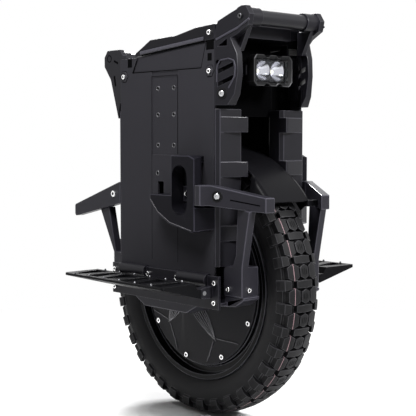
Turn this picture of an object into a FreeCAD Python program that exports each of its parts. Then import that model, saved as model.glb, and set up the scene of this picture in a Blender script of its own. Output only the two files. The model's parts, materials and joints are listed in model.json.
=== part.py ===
import FreeCAD, Part
import math
import os
import Sketcher

# A suspension electric unicycle. X points to the headlight, Y to the rider's left, Z up.
# The origin is on the ground, straight under the axle. The right-hand pieces are drawn, and the
# left-hand ones mirror them.

DOC = FreeCAD.newDocument("electric_unicycle")
SHEET = DOC.addObject("Spreadsheet::Sheet", "Sizes")

# Driving dimensions in millimetres, or degrees where the name ends in angle.
DRIVING = {
    # tyre
    "tyre_radius": 250, "tread_depth": 8, "tyre_half_width": 46, "bead_radius": 178,
    "carcass_wall": 7, "sidewall_bulge": 42, "sidewall_drop": 37, "bead_half_width": 29,
    "shoulder_half_width": 38.5, "shoulder_drop": 12, "tread_shoulder": 42, "tread_shoulder_drop": 10,
    "tread_side_drop": 28, "tread_root_drop": 33, "tread_root_wall": 3.5, "tread_root_in": 4,
    "centre_block_half_width": 10, "centre_block_length": 26,
    "bridge_block_half_width": 19, "bridge_block_length": 14,
    "flank_block_inner": 13, "flank_block_outer": 35, "flank_block_length": 31,
    "lug_block_inner": 30, "lug_block_length": 19,
    # rim, motor and axle
    "rim_flange_height": 6, "rim_flange_wall": 4, "rim_well_depth": 10, "rim_well_half_width": 12,
    "rotor_outer_radius": 158, "rotor_inner_radius": 142, "rotor_half_width": 25, "rim_dish": 8,
    "cover_radius": 155, "cover_edge": 3.5, "cover_flat": 14, "cover_wall": 6, "cover_crown": 25.5,
    "cover_hub_radius": 44, "cover_bolt_radius": 148, "cover_bolt_head": 5, "cover_bolt_height": 3,
    "cover_bolt_angle": 16, "bearing_radius": 26, "bearing_width": 15,
    "axle_radius": 12.5, "axle_reach": 105, "axle_nut_radius": 18, "axle_nut_height": 6,
    "stator_gap": 1.5, "stator_half_width": 19, "stator_rim": 26, "stator_web": 3,
    "stator_hub_radius": 32, "valve_radius": 4, "valve_length": 15, "valve_angle": 35,
    # shell
    "shell_half_length": 133.5, "shell_half_width": 112, "panel_wall": 5, "skirt_rise": 33,
    "panel_top_rise": 400, "strip_half_width": 38, "strip_depth": 1.5,
    "rear_ear_x": -97, "rear_ear_top_x": -82, "rear_ear_rise": 428,
    "front_ear_x": 99, "front_ear_top_x": 112, "front_ear_rise": 445,
    "pad_hole_radius": 2.7, "pad_sink_radius": 5.2, "pad_sink_depth": 1.5, "pad_hole_spacing": 45,
    "pad_row_top_rise": 368.7, "pad_row_middle_rise": 320, "pad_row_low_rise": 264,
    "pad_row_floor_rise": 212, "service_slot_rear": -22, "service_slot_width": 17,
    "service_slot_height": 29, "service_slot_rise": 168, "lid_gap": 1.2, "lid_inset": 2,
    "box_wall": 4, "box_floor_rise": 76, "box_top_rise": 404, "box_inner": 54, "box_end_inset": 24,
    "box_skin_gap": 0.5, "pack_gap": 0.5, "shock_channel_half": 28,
    "slot_half_width": 49, "bumper_nose": 8.5, "bumper_floor_rise": 50, "bumper_top_rise": 328,
    "bumper_corner": 6, "bumper_rib_height": 27, "bumper_rib_reach": 12,
    "rib_low_rise": 95, "rib_middle_rise": 208, "rib_high_rise": 287,
    "case_gap": 0.5, "roof_clearance": 9,
    # deck
    "deck_rear": -88.5, "deck_line_rear_rise": 430, "deck_line_front_rise": 449,
    "deck_tail_rise": 436, "deck_tail_top_x": -70, "deck_tail_top_rise": 445, "deck_hump_x": -43,
    "deck_hump_rise": 459, "deck_waist_x": 31, "deck_waist_rise": 462, "deck_nose_rise": 475,
    "deck_nose_x": 85, "deck_nose_start_rise": 472, "chin_depth": 20,
    "chin_low_rise": 425, "chin_inner": 72, "chin_outer": 100, "hood_half_width": 60, "hood_x": 154,
    "hood_wall": 7, "hood_low_rise": 453, "hood_crown": 9,
    # slide housing for the front arm
    "housing_reach": 34, "housing_cavity": 7.5, "housing_lip_x": -4, "housing_lip_rise": 163,
    "housing_lip_wall": 12, "housing_knee_x": 17, "housing_knee_rise": 141, "housing_chin_x": 51,
    "housing_chin_rise": 123, "housing_floor_x": 112, "housing_floor_rise": 111, "housing_front": 136,
    "housing_front_rise": 117, "notch_rise": 155, "notch_x": 118, "notch_slope": 12, "housing_top_rise": 246,
    "housing_top_rear": 30, "housing_nose": 14, "housing_draft": 6, "ramp_foot": 2, "ramp_end": 56,
    "window_rear": 58, "window_front": 99, "window_floor_rise": 140, "window_top_wall": 17,
    "window_bolt_x": 69, "cavity_rear": 40, "cavity_margin": 3,
    # suspension
    "travel": 40, "shock_can_radius": 18, "shock_can_length": 190, "shock_shaft_radius": 7,
    "shock_fit": 0.3, "shock_engagement": 25, "shock_hole_radius": 11,
    # front arm and its leg
    "arm_gap": 1, "arm_slot": 1.5, "arm_root_floor_rise": 159, "arm_root_height": 36,
    "arm_bend_x": 145, "arm_nose_x": 133, "arm_nose_wall": 19, "arm_tail_rear": 46, "arm_tail_wall": 5,
    "arm_tail_inset": 4, "arm_tip_x": 231, "arm_tip_inner": 60, "arm_tip_width": 22,
    "arm_tip_floor_rise": 148, "arm_tip_height": 26, "arm_round": 5,
    "leg_outer": 100, "leg_wall": 16, "leg_inner": 60, "leg_foot_rear": 146, "leg_foot_front": 191,
    "leg_foot_height": 52, "leg_waist_rise": 73, "leg_waist_rear": 176, "leg_waist_front": 195,
    "leg_top_rear": 180, "leg_top_front": 209, "leg_round": 8,
    # rear arm and its leg
    "rear_arm_outer": 106, "rear_arm_wall": 16, "rear_arm_root": -146, "rear_arm_tip": -297,
    "rear_arm_root_floor_rise": 150, "rear_arm_root_height": 42, "rear_arm_tip_floor_rise": 117,
    "rear_arm_tip_height": 24, "rear_foot_front": -146, "rear_foot_rear": -174, "rear_leg_knee": 22,
    "rear_leg_width": 28, "rear_leg_top_rear": -217,
    # hanger and pedal hinge
    "hanger_inner": 60, "hanger_outer": 98, "hanger_half_length": 194, "hanger_end_drop": 5,
    "hanger_toe_half": 173, "hanger_toe_drop": 18, "hanger_step_half": 88, "hanger_step_drop": 26,
    "hanger_floor_half": 60, "hanger_floor_drop": 41, "hanger_boss_half": 46, "hanger_boss_flank": 84,
    "hanger_boss_rise": 34, "hanger_arm_drop": 12, "hanger_seat_start": 146,
    "hinge_back": 113.5, "hinge_wall": 6, "hinge_half_length": 152, "hinge_top_rise": 35,
    "hinge_floor_drop": 24, "ledge_radius": 12, "ledge_rise": 26, "ledge_start": 47, "ledge_end": 124,
    "pivot_out": 139, "pivot_rise": 6.5, "pin_radius": 4, "pin_fit": 0.05, "lug_radius": 10,
    "lug_wall": 14, "lug_gap": 1,
    # pedals
    "pedal_outer": 248, "pedal_rear": -132, "pedal_front": 152, "pedal_inner_front": 146,
    "barrel_radius": 8.5, "pedal_plate_start": 153, "pedal_low_top": 9, "pedal_step": 163,
    "pedal_ramp": 8, "pedal_top": 21, "pedal_inner_drop": 8, "pedal_outer_wall": 4.5,
    "pedal_rail": 8, "pedal_corner": 5, "pedal_front_corner": 4, "pedal_rib": 7,
    "grip_radius": 2, "grip_height": 3.5,
    # fender
    "fender_gap": 14, "fender_wall": 3, "fender_half_width": 46, "fender_sweep_angle": 104,
    "stay_lead": 5.0348, "stay_length": 10, "stay_drop": 8.5346, "stay_height": 11, "stay_grip": 2,
    # front handle
    "bar_radius": 13.5, "bar_x": 183, "bar_rise": 485.5, "sleeve_radius": 16.5, "sleeve_inner": 57,
    "bar_half_length": 91, "bracket_gap": 1, "bracket_tip_rise": 334, "bracket_heel_x": 158,
    "bracket_chin_x": 170, "bracket_chin_rise": 353, "bracket_belly_x": 176, "bracket_belly_rise": 390,
    "bracket_brow_x": 174, "bracket_brow_rise": 422, "bracket_notch_x": 163, "bracket_notch_rise": 449,
    "bracket_jaw_x": 200, "bracket_jaw_rise": 470, "bracket_cap_x": 204, "bracket_cap_rise": 488,
    "bracket_crown_x": 194, "bracket_top_rise": 503, "bracket_back_x": 140, "bracket_back_rise": 479,
    "bracket_heel_rise": 462, "bracket_shoulder_x": 160, "bracket_shoulder_y": 103,
    "bracket_face_x": 176, "bracket_face_y": 96, "bracket_inner_y": 84, "bracket_wall": 11,
    "bracket_reach_x": 206, "gusset_inner": 74, "gusset_rear": 157, "gusset_foot": 168,
    "gusset_low_rise": 428, "gusset_top_rise": 470, "gusset_front": 190,
    "tongue_low_rise": 345, "tongue_top_rise": 398, "tongue_wall": 6,
    "bracket_hole_x": 141, "bracket_hole_rise": 408, "bracket_hole_radius": 5,
    "slash_x": 140, "slash_length": 28, "slash_lift": 12, "slash_width": 8, "slash_rise": 366,
    "slash_step": 22, "bracket_window_x": 140, "bracket_window_rise": 436,
    "bracket_window_length": 17, "bracket_window_height": 13,
    # rear handle
    "rear_bar_half_length": 100, "rear_bar_x": -180, "rear_bar_rise": 434, "rear_bar_radius": 11.5,
    "rear_sleeve_radius": 14.5,
    "rear_bracket_outer": 106, "rear_bracket_wall": 10, "rear_bracket_tip_x": -149,
    "rear_bracket_tip_rise": 315, "rear_bracket_heel_rise": 345, "rear_bracket_knee_x": -173,
    "rear_bracket_knee_rise": 391, "rear_bracket_end_x": -193, "rear_bracket_end_rise": 417,
    "rear_bracket_brow_rise": 435, "rear_bracket_top_x": -183, "rear_bracket_top_rise": 448,
    "rear_bracket_start_x": -144, "rear_bracket_root_rise": 437,
    # lights and switch
    "light_front": 168, "light_depth": 40, "light_half_width": 49, "light_half_height": 27.5,
    "light_rise": 397, "light_bezel": 7, "lens_wall": 2, "lens_inset": 3, "light_bevel": 8,
    "reflector_depth": 18, "reflector_wall": 1.5, "reflector_radius": 19, "reflector_root": 9,
    "reflector_offset": 20.5, "yoke_gap": 1, "yoke_wall": 3.5, "yoke_height": 18, "light_pivot_back": 24,
    "light_pin_radius": 4, "light_pin_grip": 6, "tail_half_width": 38, "tail_half_height": 9,
    "tail_wall": 7, "tail_rise": 377, "button_length": 20, "button_height": 11, "button_wall": 7,
    "button_rise": 431, "button_middle": 86, "button_gap": 0.4, "button_travel": 1.5, "button_stand": 2,
    # fasteners
    "bolt_radius": 6, "bolt_height": 4, "small_bolt_radius": 4.5,
    "overrun": 40,
}
PITCHES = 36
COVER_BOLTS = 9
PEDAL_BAYS = 6


class Size:
    """A length with its value and the sheet formula that binds a property to it."""

    def __init__(self, value, formula):
        self.value = float(value)
        self.formula = formula

    def join(self, other, sign, value):
        """Give the sum, difference, product or share of this size and another."""
        text = other.formula if isinstance(other, Size) else repr(other)
        return Size(value, f"({self.formula} {sign} {text})")

    def __add__(self, other):
        return self.join(other, "+", self.value + number(other))

    def __sub__(self, other):
        return self.join(other, "-", self.value - number(other))

    def __mul__(self, share):
        return self.join(share, "*", self.value * number(share))

    def __truediv__(self, share):
        return self.join(share, "/", self.value / number(share))

    def __neg__(self):
        return self * -1


def number(size):
    """Give the plain number of a size or a share."""
    return size.value if isinstance(size, Size) else float(size)


class Dimensions:
    """The sheet's cells, one attribute for each alias."""

    def __init__(self, driving):
        for row, (alias, value) in enumerate(driving.items(), start=1):
            SHEET.set(f"A{row}", alias)
            SHEET.set(f"B{row}", str(value))
            SHEET.setAlias(f"B{row}", alias)
            setattr(self, alias, Size(value, f"Sizes.{alias}"))


d = Dimensions(DRIVING)
DOC.recompute()
ZERO = Size(0, "0")


def bind(item, name, size):
    """Tie one property to the sheet."""
    item.setExpression(name, size.formula)


class Outline:
    """A closed outline of straight edges, with each corner tied to the sheet."""

    def __init__(self, *corners):
        self.corners = corners

    def draw(self, sketch):
        """Add the edges and pin every corner by its two distances from the sketch's origin."""
        first = sketch.GeometryCount
        points = [FreeCAD.Vector(number(a), number(b), 0) for a, b in self.corners]
        count = len(points)
        for place in range(count):
            sketch.addGeometry(Part.LineSegment(points[place], points[(place + 1) % count]), False)
        for place, (across, up) in enumerate(self.corners):
            edge = first + place
            before = first + (place - 1) % count
            sketch.addConstraint(Sketcher.Constraint("Coincident", before, 2, edge, 1))
            pin_point(sketch, edge, 1, across, up)


class Ring:
    """A circle, with its centre and radius tied to the sheet."""

    def __init__(self, across, up, radius):
        self.across = across
        self.up = up
        self.radius = radius

    def draw(self, sketch):
        """Add the circle with its three constraints."""
        centre = FreeCAD.Vector(number(self.across), number(self.up), 0)
        edge = sketch.addGeometry(Part.Circle(centre, FreeCAD.Vector(0, 0, 1), number(self.radius)), False)
        pin_point(sketch, edge, 3, self.across, self.up)
        place = sketch.addConstraint(Sketcher.Constraint("Radius", edge, number(self.radius)))
        bind(sketch, f"Constraints[{place}]", self.radius)


def pin_point(sketch, edge, end, across, up):
    """Fix one point of a sketch by its distances from the origin."""
    for kind, size in (("DistanceX", across), ("DistanceY", up)):
        rule = Sketcher.Constraint(kind, -1, 1, edge, end, number(size))
        place = sketch.addConstraint(rule)
        if isinstance(size, Size):
            bind(sketch, f"Constraints[{place}]", size)


def rectangle(low_across, low_up, high_across, high_up):
    """Give the outline of a rectangle from its two corners."""
    return Outline((low_across, low_up), (high_across, low_up),
                   (high_across, high_up), (low_across, high_up))


class Piece:
    """One sub-part, built up as features of its own body."""

    def __init__(self, label):
        self.body = DOC.addObject("PartDesign::Body", label)
        self.body.Label = label

    def sketch(self, plane, level, loops, lift=None):
        """Draw loops on one of the body's origin planes, shifted along its normal by level."""
        sketch = self.body.newObject("Sketcher::SketchObject", self.body.Name + "_sketch")
        support = next(item for item in self.body.Origin.OriginFeatures if item.Role == plane + "_Plane")
        sketch.AttachmentSupport = [(support, "")]
        sketch.MapMode = "FlatFace"
        bind(sketch, "AttachmentOffset.Base.z", level)
        if lift is not None:
            bind(sketch, "AttachmentOffset.Base.y", lift)
        for loop in loops:
            loop.draw(sketch)
        return sketch

    def pad(self, plane, low, high, *loops):
        """Fill the loops from low to high along the plane's axis."""
        feature = self.body.newObject("PartDesign::Pad", self.body.Name + "_pad")
        feature.Profile = self.sketch(plane, -high if plane == "XZ" else low, loops)
        bind(feature, "Length", high - low)
        return self

    def cut(self, plane, low, high, *loops):
        """Cut the loops from low to high along the plane's axis."""
        feature = self.body.newObject("PartDesign::Pocket", self.body.Name + "_pocket")
        feature.Profile = self.sketch(plane, -low if plane == "XZ" else high, loops)
        bind(feature, "Length", high - low)
        return self

    def spin(self, *loops, angle=None):
        """Turn a half section, drawn across Y and out from the axle, about the axle."""
        feature = self.body.newObject("PartDesign::Revolution", self.body.Name + "_turn")
        profile = self.sketch("YZ", ZERO, loops, lift=axle_z)
        feature.Profile = profile
        feature.ReferenceAxis = (profile, ["H_Axis"])
        if angle is not None:
            feature.Midplane = True
            bind(feature, "Angle", angle)
        return self

    def bevel(self, size, chosen):
        """Chamfer the edges that chosen picks out."""
        return self.soften("PartDesign::Chamfer", "Size", size, chosen)

    def round(self, size, chosen):
        """Fillet the edges that chosen picks out."""
        return self.soften("PartDesign::Fillet", "Radius", size, chosen)

    def soften(self, kind, name, size, chosen):
        """Add an edge feature on the edges of the solid so far."""
        DOC.recompute()
        base = self.body.Tip
        edges = [f"Edge{place}" for place, edge in enumerate(base.Shape.Edges, start=1) if chosen(edge)]
        feature = self.body.newObject(kind, self.body.Name + "_edges")
        feature.Base = (base, edges)
        bind(feature, name, size)
        return self


def along(axis, *limits):
    """Pick straight edges that run along one axis, within limits of (axis, low, high)."""
    slack = 1e-4

    def chosen(edge):
        """Tell whether an edge is straight, runs the right way and lies within the limits."""
        if edge.Curve.TypeId != "Part::GeomLine":
            return False
        run = edge.Vertexes[-1].Point - edge.Vertexes[0].Point
        if run.Length - abs(run["XYZ".index(axis)]) > slack:
            return False
        middle = edge.CenterOfMass
        return all(number(low) - slack <= middle["XYZ".index(name)] <= number(high) + slack
                   for name, low, high in limits)
    return chosen


def block(label, low, high):
    """A box between two corners."""
    item = DOC.addObject("Part::Box", label)
    for name, axis, floor, roof in zip(("Length", "Width", "Height"), "xyz", low, high):
        bind(item, name, roof - floor)
        bind(item, "Placement.Base." + axis, floor)
    return item


def rod(label, radius, length, start, axis):
    """A round bar from its start point along an axis."""
    item = DOC.addObject("Part::Cylinder", label)
    turns = {"X": (0, 1, 0, 90), "Y": (1, 0, 0, -90), "-Y": (1, 0, 0, 90), "Z": (0, 0, 1, 0)}
    x, y, z, angle = turns[axis]
    item.Placement = FreeCAD.Placement(FreeCAD.Vector(), FreeCAD.Rotation(FreeCAD.Vector(x, y, z), angle))
    bind(item, "Radius", radius)
    bind(item, "Height", length)
    for name, size in zip("xyz", start):
        bind(item, "Placement.Base." + name, size)
    return item


def mirrored(label, source):
    """The left-hand twin of a right-hand piece."""
    item = DOC.addObject("Part::Mirroring", label)
    item.Source = source
    item.Normal = FreeCAD.Vector(0, 1, 0)
    return item


def both_sides(name, source):
    """Keep a right-hand piece and its left-hand twin."""
    keep(name + "_right", source)
    keep(name + "_left", mirrored(name + "_left", source))


def joined(label, items):
    """Several separate solids as one named group."""
    group = DOC.addObject("Part::Compound", label)
    group.Links = items
    return group


def with_twins(items):
    """Add the left-hand twin of each item."""
    return items + [mirrored(item.Name + "_twin", item) for item in items]


KEPT = []


def keep(label, item):
    """Name a finished sub-part."""
    item.Label = label
    KEPT.append(item)


axle_z = d.tyre_radius
shell_front = d.shell_half_length
panel_outer = -d.shell_half_width
panel_inner = -d.shell_half_width + d.panel_wall
box_outer = panel_inner + d.box_skin_gap
box_end = d.shell_half_length - d.box_end_inset
bumper_face = d.shell_half_length + d.bumper_nose
fender_inner = d.tyre_radius + d.fender_gap
roof_z = axle_z + fender_inner + d.fender_wall + d.travel + d.roof_clearance
hinge_face = -(d.hinge_back + d.hinge_wall)
pivot_y = -d.pivot_out
pivot_z = axle_z + d.pivot_rise


def above(rise):
    """Height above the ground of a rise above the axle."""
    return axle_z + rise


def line_at(x, start_x, start, end_x, end):
    """The value at x of a straight line between two points."""
    return start + (end - start) * (x - start_x) / (end_x - start_x)


def deck_line(x):
    """Height of the sloping line that the deck sits on."""
    return line_at(x, d.deck_rear, above(d.deck_line_rear_rise), shell_front, above(d.deck_line_front_rise))


def front_arm_floor(x):
    """Height of the front arm's straight underside."""
    return line_at(x, d.arm_bend_x, above(d.arm_root_floor_rise), d.arm_tip_x, above(d.arm_tip_floor_rise))


def front_arm_inside(x):
    """Sideways place of the front arm's inner face."""
    return line_at(x, d.arm_bend_x, panel_outer - d.arm_gap, d.arm_tip_x, -d.arm_tip_inner)


def rear_arm_floor(x):
    """Height of the rear arm's straight underside."""
    return line_at(x, d.rear_arm_root, above(d.rear_arm_root_floor_rise),
                   d.rear_arm_tip, above(d.rear_arm_tip_floor_rise))


def half_section(steps, lean):
    """Close lines and three-point arcs, drawn as (y, radius) and leaned about the axle, into a face."""
    def place(point):
        return FreeCAD.Vector(point[1] * math.sin(lean), point[0], point[1] * math.cos(lean))
    edges = []
    here = place(steps[-1][-1])
    for step in steps:
        there = place(step[-1])
        if len(step) == 1:
            edges.append(Part.LineSegment(here, there).toShape())
        else:
            edges.append(Part.Arc(here, place(step[0]), there).toShape())
        here = there
    return Part.Face(Part.Wire(edges))


def left(point):
    """The same point of a section on the other side of the wheel."""
    return (-point[0], point[1])


def hexagon(length, low, high, nose_share):
    """An elongated block that points along the tread, as (along, across) corners."""
    half = length / 2
    flat = half * nose_share
    middle = (low + high) / 2
    return [(-half, middle), (-flat, high), (flat, high), (half, middle), (flat, low), (-flat, low)]


def tread_prisms(half_pitch):
    """The rubber blocks that one tread pitch touches, as upright prisms about the axle."""
    nose_share, blunt_share, lug_share = 0.62, 0.86, 0.8
    reach = d.tyre_half_width.value + d.tread_depth.value
    centre = d.centre_block_half_width.value
    bridge = d.bridge_block_half_width.value
    flank = (d.flank_block_length.value, d.flank_block_inner.value, d.flank_block_outer.value)
    lug = (d.lug_block_length.value, d.lug_block_inner.value, reach)
    first = [hexagon(d.centre_block_length.value, -centre, centre, nose_share)]
    first += [hexagon(flank[0], *ends, nose_share) for ends in (flank[1:], (-flank[2], -flank[1]))]
    second = [hexagon(d.bridge_block_length.value, -bridge, bridge, blunt_share)]
    second += [hexagon(lug[0], *ends, lug_share) for ends in (lug[1:], (-lug[2], -lug[1]))]
    prisms = []
    floor = d.tyre_radius.value - d.overrun.value
    for turn, outlines in ((0, first), (half_pitch, second), (-half_pitch, second)):
        for outline in outlines:
            loop = [FreeCAD.Vector(run, across, floor) for run, across in outline]
            face = Part.Face(Part.makePolygon(loop + loop[:1]))
            prism = face.extrude(FreeCAD.Vector(0, 0, 2 * d.overrun.value))
            prism.rotate(FreeCAD.Vector(), FreeCAD.Vector(0, 1, 0), turn)
            prisms.append(prism)
    return prisms


def tyre():
    """The knobby tyre: one pitch of carcass and blocks, copied round and sewn into one skin."""
    radius = d.tyre_radius.value
    crown = radius - d.tread_depth.value
    bead = d.bead_radius.value
    hold = d.bead_half_width.value
    wall = d.carcass_wall.value
    half = d.tyre_half_width.value
    lip = bead + d.rim_flange_height.value
    bulge = (d.sidewall_bulge.value, radius - d.sidewall_drop.value)
    edge = (d.shoulder_half_width.value, crown - d.shoulder_drop.value)
    inner_bulge = (bulge[0] - wall, bulge[1])
    inner_edge = (edge[0] - wall, edge[1] - wall)
    toe = (hold - wall, bead)
    heel = (hold - wall, lip)
    carcass = [[(hold, bead)], [(hold, lip)], [bulge, edge], [(0, crown), left(edge)],
               [left(bulge), (-hold, lip)], [(-hold, bead)], [left(toe)], [left(heel)],
               [left(inner_bulge), left(inner_edge)], [(0, crown - wall), inner_edge],
               [inner_bulge, heel], [toe]]
    skirt = radius - d.tread_side_drop.value
    root = (edge[0] - d.tread_root_in.value + d.tread_root_wall.value, radius - d.tread_root_drop.value)
    brow = (d.tread_shoulder.value, radius - d.tread_shoulder_drop.value)
    cheek = (half, brow[1] - d.tread_depth.value)
    tread = [[(half, skirt)], [cheek], [brow], [(0, radius), left(brow)], [left(cheek)],
             [(-half, skirt)], [left(root)], [(0, crown - d.tread_root_wall.value), root]]
    sweep = 360 / PITCHES
    lean = -math.radians(sweep / 2)
    axis = FreeCAD.Vector(0, 1, 0)
    centre = FreeCAD.Vector()
    sector = half_section(carcass, lean).revolve(centre, axis, sweep)
    band = half_section(tread, lean).revolve(centre, axis, sweep)
    sector = sector.multiFuse([band.common(prism) for prism in tread_prisms(sweep / 2)])
    tolerance_share = 1e-5

    def on_end(face, end):
        """Tell whether a face lies in one of the two cuts between pitches."""
        return all(abs(math.atan2(v.X, v.Z) - end) < tolerance_share for v in face.Vertexes)

    skin = [face for face in sector.Faces if not (on_end(face, lean) or on_end(face, -lean))]
    faces = []
    for place in range(PITCHES):
        for face in skin:
            copy = face.copy()
            copy.rotate(centre, axis, place * sweep)
            faces.append(copy)
    shell = Part.makeCompound(faces)
    shell.sewShape()
    item = DOC.addObject("Part::Feature", "tyre")
    item.Shape = Part.Solid(shell.Shells[0])
    item.Placement = FreeCAD.Placement(FreeCAD.Vector(0, 0, axle_z.value), FreeCAD.Rotation())
    keep("tyre", item)


def wheel():
    """Rim with rotor, dished motor covers, bearings, cover bolts and valve."""
    lip = d.bead_radius + d.rim_flange_height
    flange = d.bead_half_width + d.rim_flange_wall
    well = d.bead_radius - d.rim_well_depth
    under = d.bead_radius - d.rim_flange_wall
    dish = d.rotor_half_width - d.rim_dish
    ramp = d.rim_well_half_width + d.rim_flange_wall
    step = d.rotor_outer_radius + d.rim_flange_wall / 2
    upper = [(flange, lip), (d.bead_half_width, lip), (d.bead_half_width, d.bead_radius),
             (ramp, d.bead_radius), (d.rim_well_half_width, well)]
    lower = [(d.rotor_half_width, d.rotor_inner_radius), (d.rotor_half_width, d.rotor_outer_radius),
             (dish, step), (dish, under - d.rim_flange_wall / 2), (flange, under)]
    corners = upper + [left(p) for p in reversed(upper)] + [left(p) for p in reversed(lower)] + lower
    keep("rim", Piece("rim").spin(Outline(*corners)).body)

    face = d.rotor_half_width
    rim_face = face + d.cover_edge
    hub_face = rim_face + d.cover_crown
    seat = hub_face - d.bearing_width
    cover = Piece("motor_cover_right").spin(Outline(
        (-face, d.cover_radius), (-rim_face, d.cover_radius), (-rim_face, d.cover_radius - d.cover_flat),
        (-hub_face, d.cover_hub_radius), (-hub_face, d.bearing_radius), (-seat, d.bearing_radius),
        (-seat, d.cover_hub_radius - d.cover_wall), (-face, d.rotor_inner_radius - d.cover_wall)))
    both_sides("motor_cover", cover.body)
    bearing = Piece("hub_bearing").pad(
        "XZ", -hub_face, -seat, Ring(ZERO, axle_z, d.bearing_radius),
        Ring(ZERO, axle_z, d.axle_radius + d.pin_fit))
    keep("hub_bearings", joined("hub_bearings", with_twins([bearing.body])))

    bolts = []
    for place in range(COVER_BOLTS):
        turn = math.radians(d.cover_bolt_angle.value + place * 360 / COVER_BOLTS)
        start = (d.cover_bolt_radius * math.cos(turn), -rim_face,
                 axle_z + d.cover_bolt_radius * math.sin(turn))
        bolts.append(rod("cover_bolt", d.cover_bolt_head, d.cover_bolt_height, start, "-Y"))
    keep("cover_bolts", joined("cover_bolts", with_twins(bolts)))
    turn = math.radians(d.valve_angle.value)
    stand = (d.rotor_outer_radius + under) / 2
    start = (stand * math.cos(turn), -dish, axle_z + stand * math.sin(turn))
    keep("valve_stem", rod("valve_stem", d.valve_radius, d.valve_length, start, "-Y"))


def axle_group():
    """The fixed axle, the stator that it carries and its two nuts."""
    keep("axle", rod("axle", d.axle_radius, d.axle_reach * 2, (ZERO, -d.axle_reach, axle_z), "Y"))
    outer = d.rotor_inner_radius - d.stator_gap
    inner = outer - d.stator_rim
    half = [(d.stator_half_width, outer), (d.stator_half_width, inner), (d.stator_web, inner),
            (d.stator_web, d.stator_hub_radius), (d.stator_half_width, d.stator_hub_radius),
            (d.stator_half_width, d.axle_radius)]
    keep("stator", Piece("stator").spin(Outline(*half, *[left(p) for p in reversed(half)])).body)
    nut = Piece("axle_nut").pad("XZ", -(d.hanger_outer + d.axle_nut_height), -d.hanger_outer,
                                Ring(ZERO, axle_z, d.axle_nut_radius), Ring(ZERO, axle_z, d.axle_radius))
    keep("axle_nuts", joined("axle_nuts", with_twins([nut.body])))


def hanger():
    """The cast beam on each side that carries the axle, the legs and the pedal hinge."""
    low = axle_z - d.hanger_arm_drop
    toe = axle_z - d.hanger_toe_drop
    boss = axle_z + d.hanger_boss_rise
    half = [(d.hanger_boss_half, boss), (d.hanger_boss_flank, low), (d.hanger_seat_start, low),
            (d.hanger_seat_start, axle_z), (d.hanger_half_length, axle_z),
            (d.hanger_half_length, axle_z - d.hanger_end_drop), (d.hanger_toe_half, toe),
            (d.hanger_step_half, axle_z - d.hanger_step_drop),
            (d.hanger_floor_half, axle_z - d.hanger_floor_drop)]
    belly = [(d.hinge_half_length, low), (d.hinge_half_length, toe)] + half[-2:]
    beam = Outline(*half, *[left(p) for p in reversed(half)])
    wing = Outline(*belly, *[left(p) for p in reversed(belly)])
    body = Piece("hanger_right").pad("XZ", -d.hanger_outer, -d.hanger_inner, beam)
    body.pad("XZ", -d.hinge_back, -d.hanger_outer, wing)
    body.cut("XZ", -d.hinge_back, -d.hanger_inner, Ring(ZERO, axle_z, d.axle_nut_radius + d.lug_gap))
    body.pad("XZ", -d.hanger_outer, -d.hanger_inner, Ring(ZERO, axle_z, d.axle_nut_radius + d.lug_gap),
             Ring(ZERO, axle_z, d.axle_radius))
    both_sides("hanger", body.body)


def front_arms():
    """Arms that run out of the slide housings and turn in past the tyre."""
    inner = panel_outer - d.arm_gap
    outer = panel_outer - d.housing_reach
    nose = inner - d.arm_nose_wall
    floor = above(d.arm_root_floor_rise)
    top = floor + d.arm_root_height
    root = d.notch_x + d.arm_slot
    start = root - d.notch_slope
    arm = Piece("front_arm_right").pad("XY", floor, top, Outline(
        (root, outer), (d.arm_nose_x, outer), (d.arm_bend_x, nose), (d.arm_bend_x, inner), (start, inner)))
    arm.pad("XZ", inner - d.arm_tail_wall, inner, rectangle(
        d.arm_tail_rear, floor + d.arm_tail_inset, root, top - d.arm_tail_inset))
    tip_floor = above(d.arm_tip_floor_rise)
    loft = arm.body.newObject("PartDesign::AdditiveLoft", "front_arm_loft")
    loft.Profile = arm.sketch("YZ", d.arm_bend_x, [rectangle(nose, floor, inner, top)])
    loft.Sections = [arm.sketch("YZ", d.arm_tip_x, [rectangle(
        -(d.arm_tip_inner + d.arm_tip_width), tip_floor, -d.arm_tip_inner, tip_floor + d.arm_tip_height)])]
    loft.Ruled = True
    arm.body.Tip = loft
    both_sides("front_arm", arm.body)

    foot = above(d.leg_foot_height)
    waist = above(d.leg_waist_rise)
    inside = -d.leg_outer + d.leg_wall
    leg = Piece("front_leg_right").pad("XZ", -d.leg_outer, inside, Outline(
        (d.leg_foot_rear, axle_z), (d.leg_foot_front, axle_z), (d.leg_foot_front, foot),
        (d.leg_waist_front, waist), (d.leg_top_front, front_arm_floor(d.leg_top_front)),
        (d.leg_top_rear, front_arm_floor(d.leg_top_rear)), (d.leg_waist_rear, waist),
        (d.leg_waist_rear - d.leg_round, foot), (d.leg_foot_rear, foot)))
    leg.pad("XZ", inside, -d.leg_inner, rectangle(d.leg_foot_rear, axle_z, d.leg_foot_front, foot))
    leg.round(d.leg_round, along("Y", ("X", d.leg_foot_rear, d.leg_foot_rear), ("Z", foot, foot)))
    both_sides("front_leg", leg.body)


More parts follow.
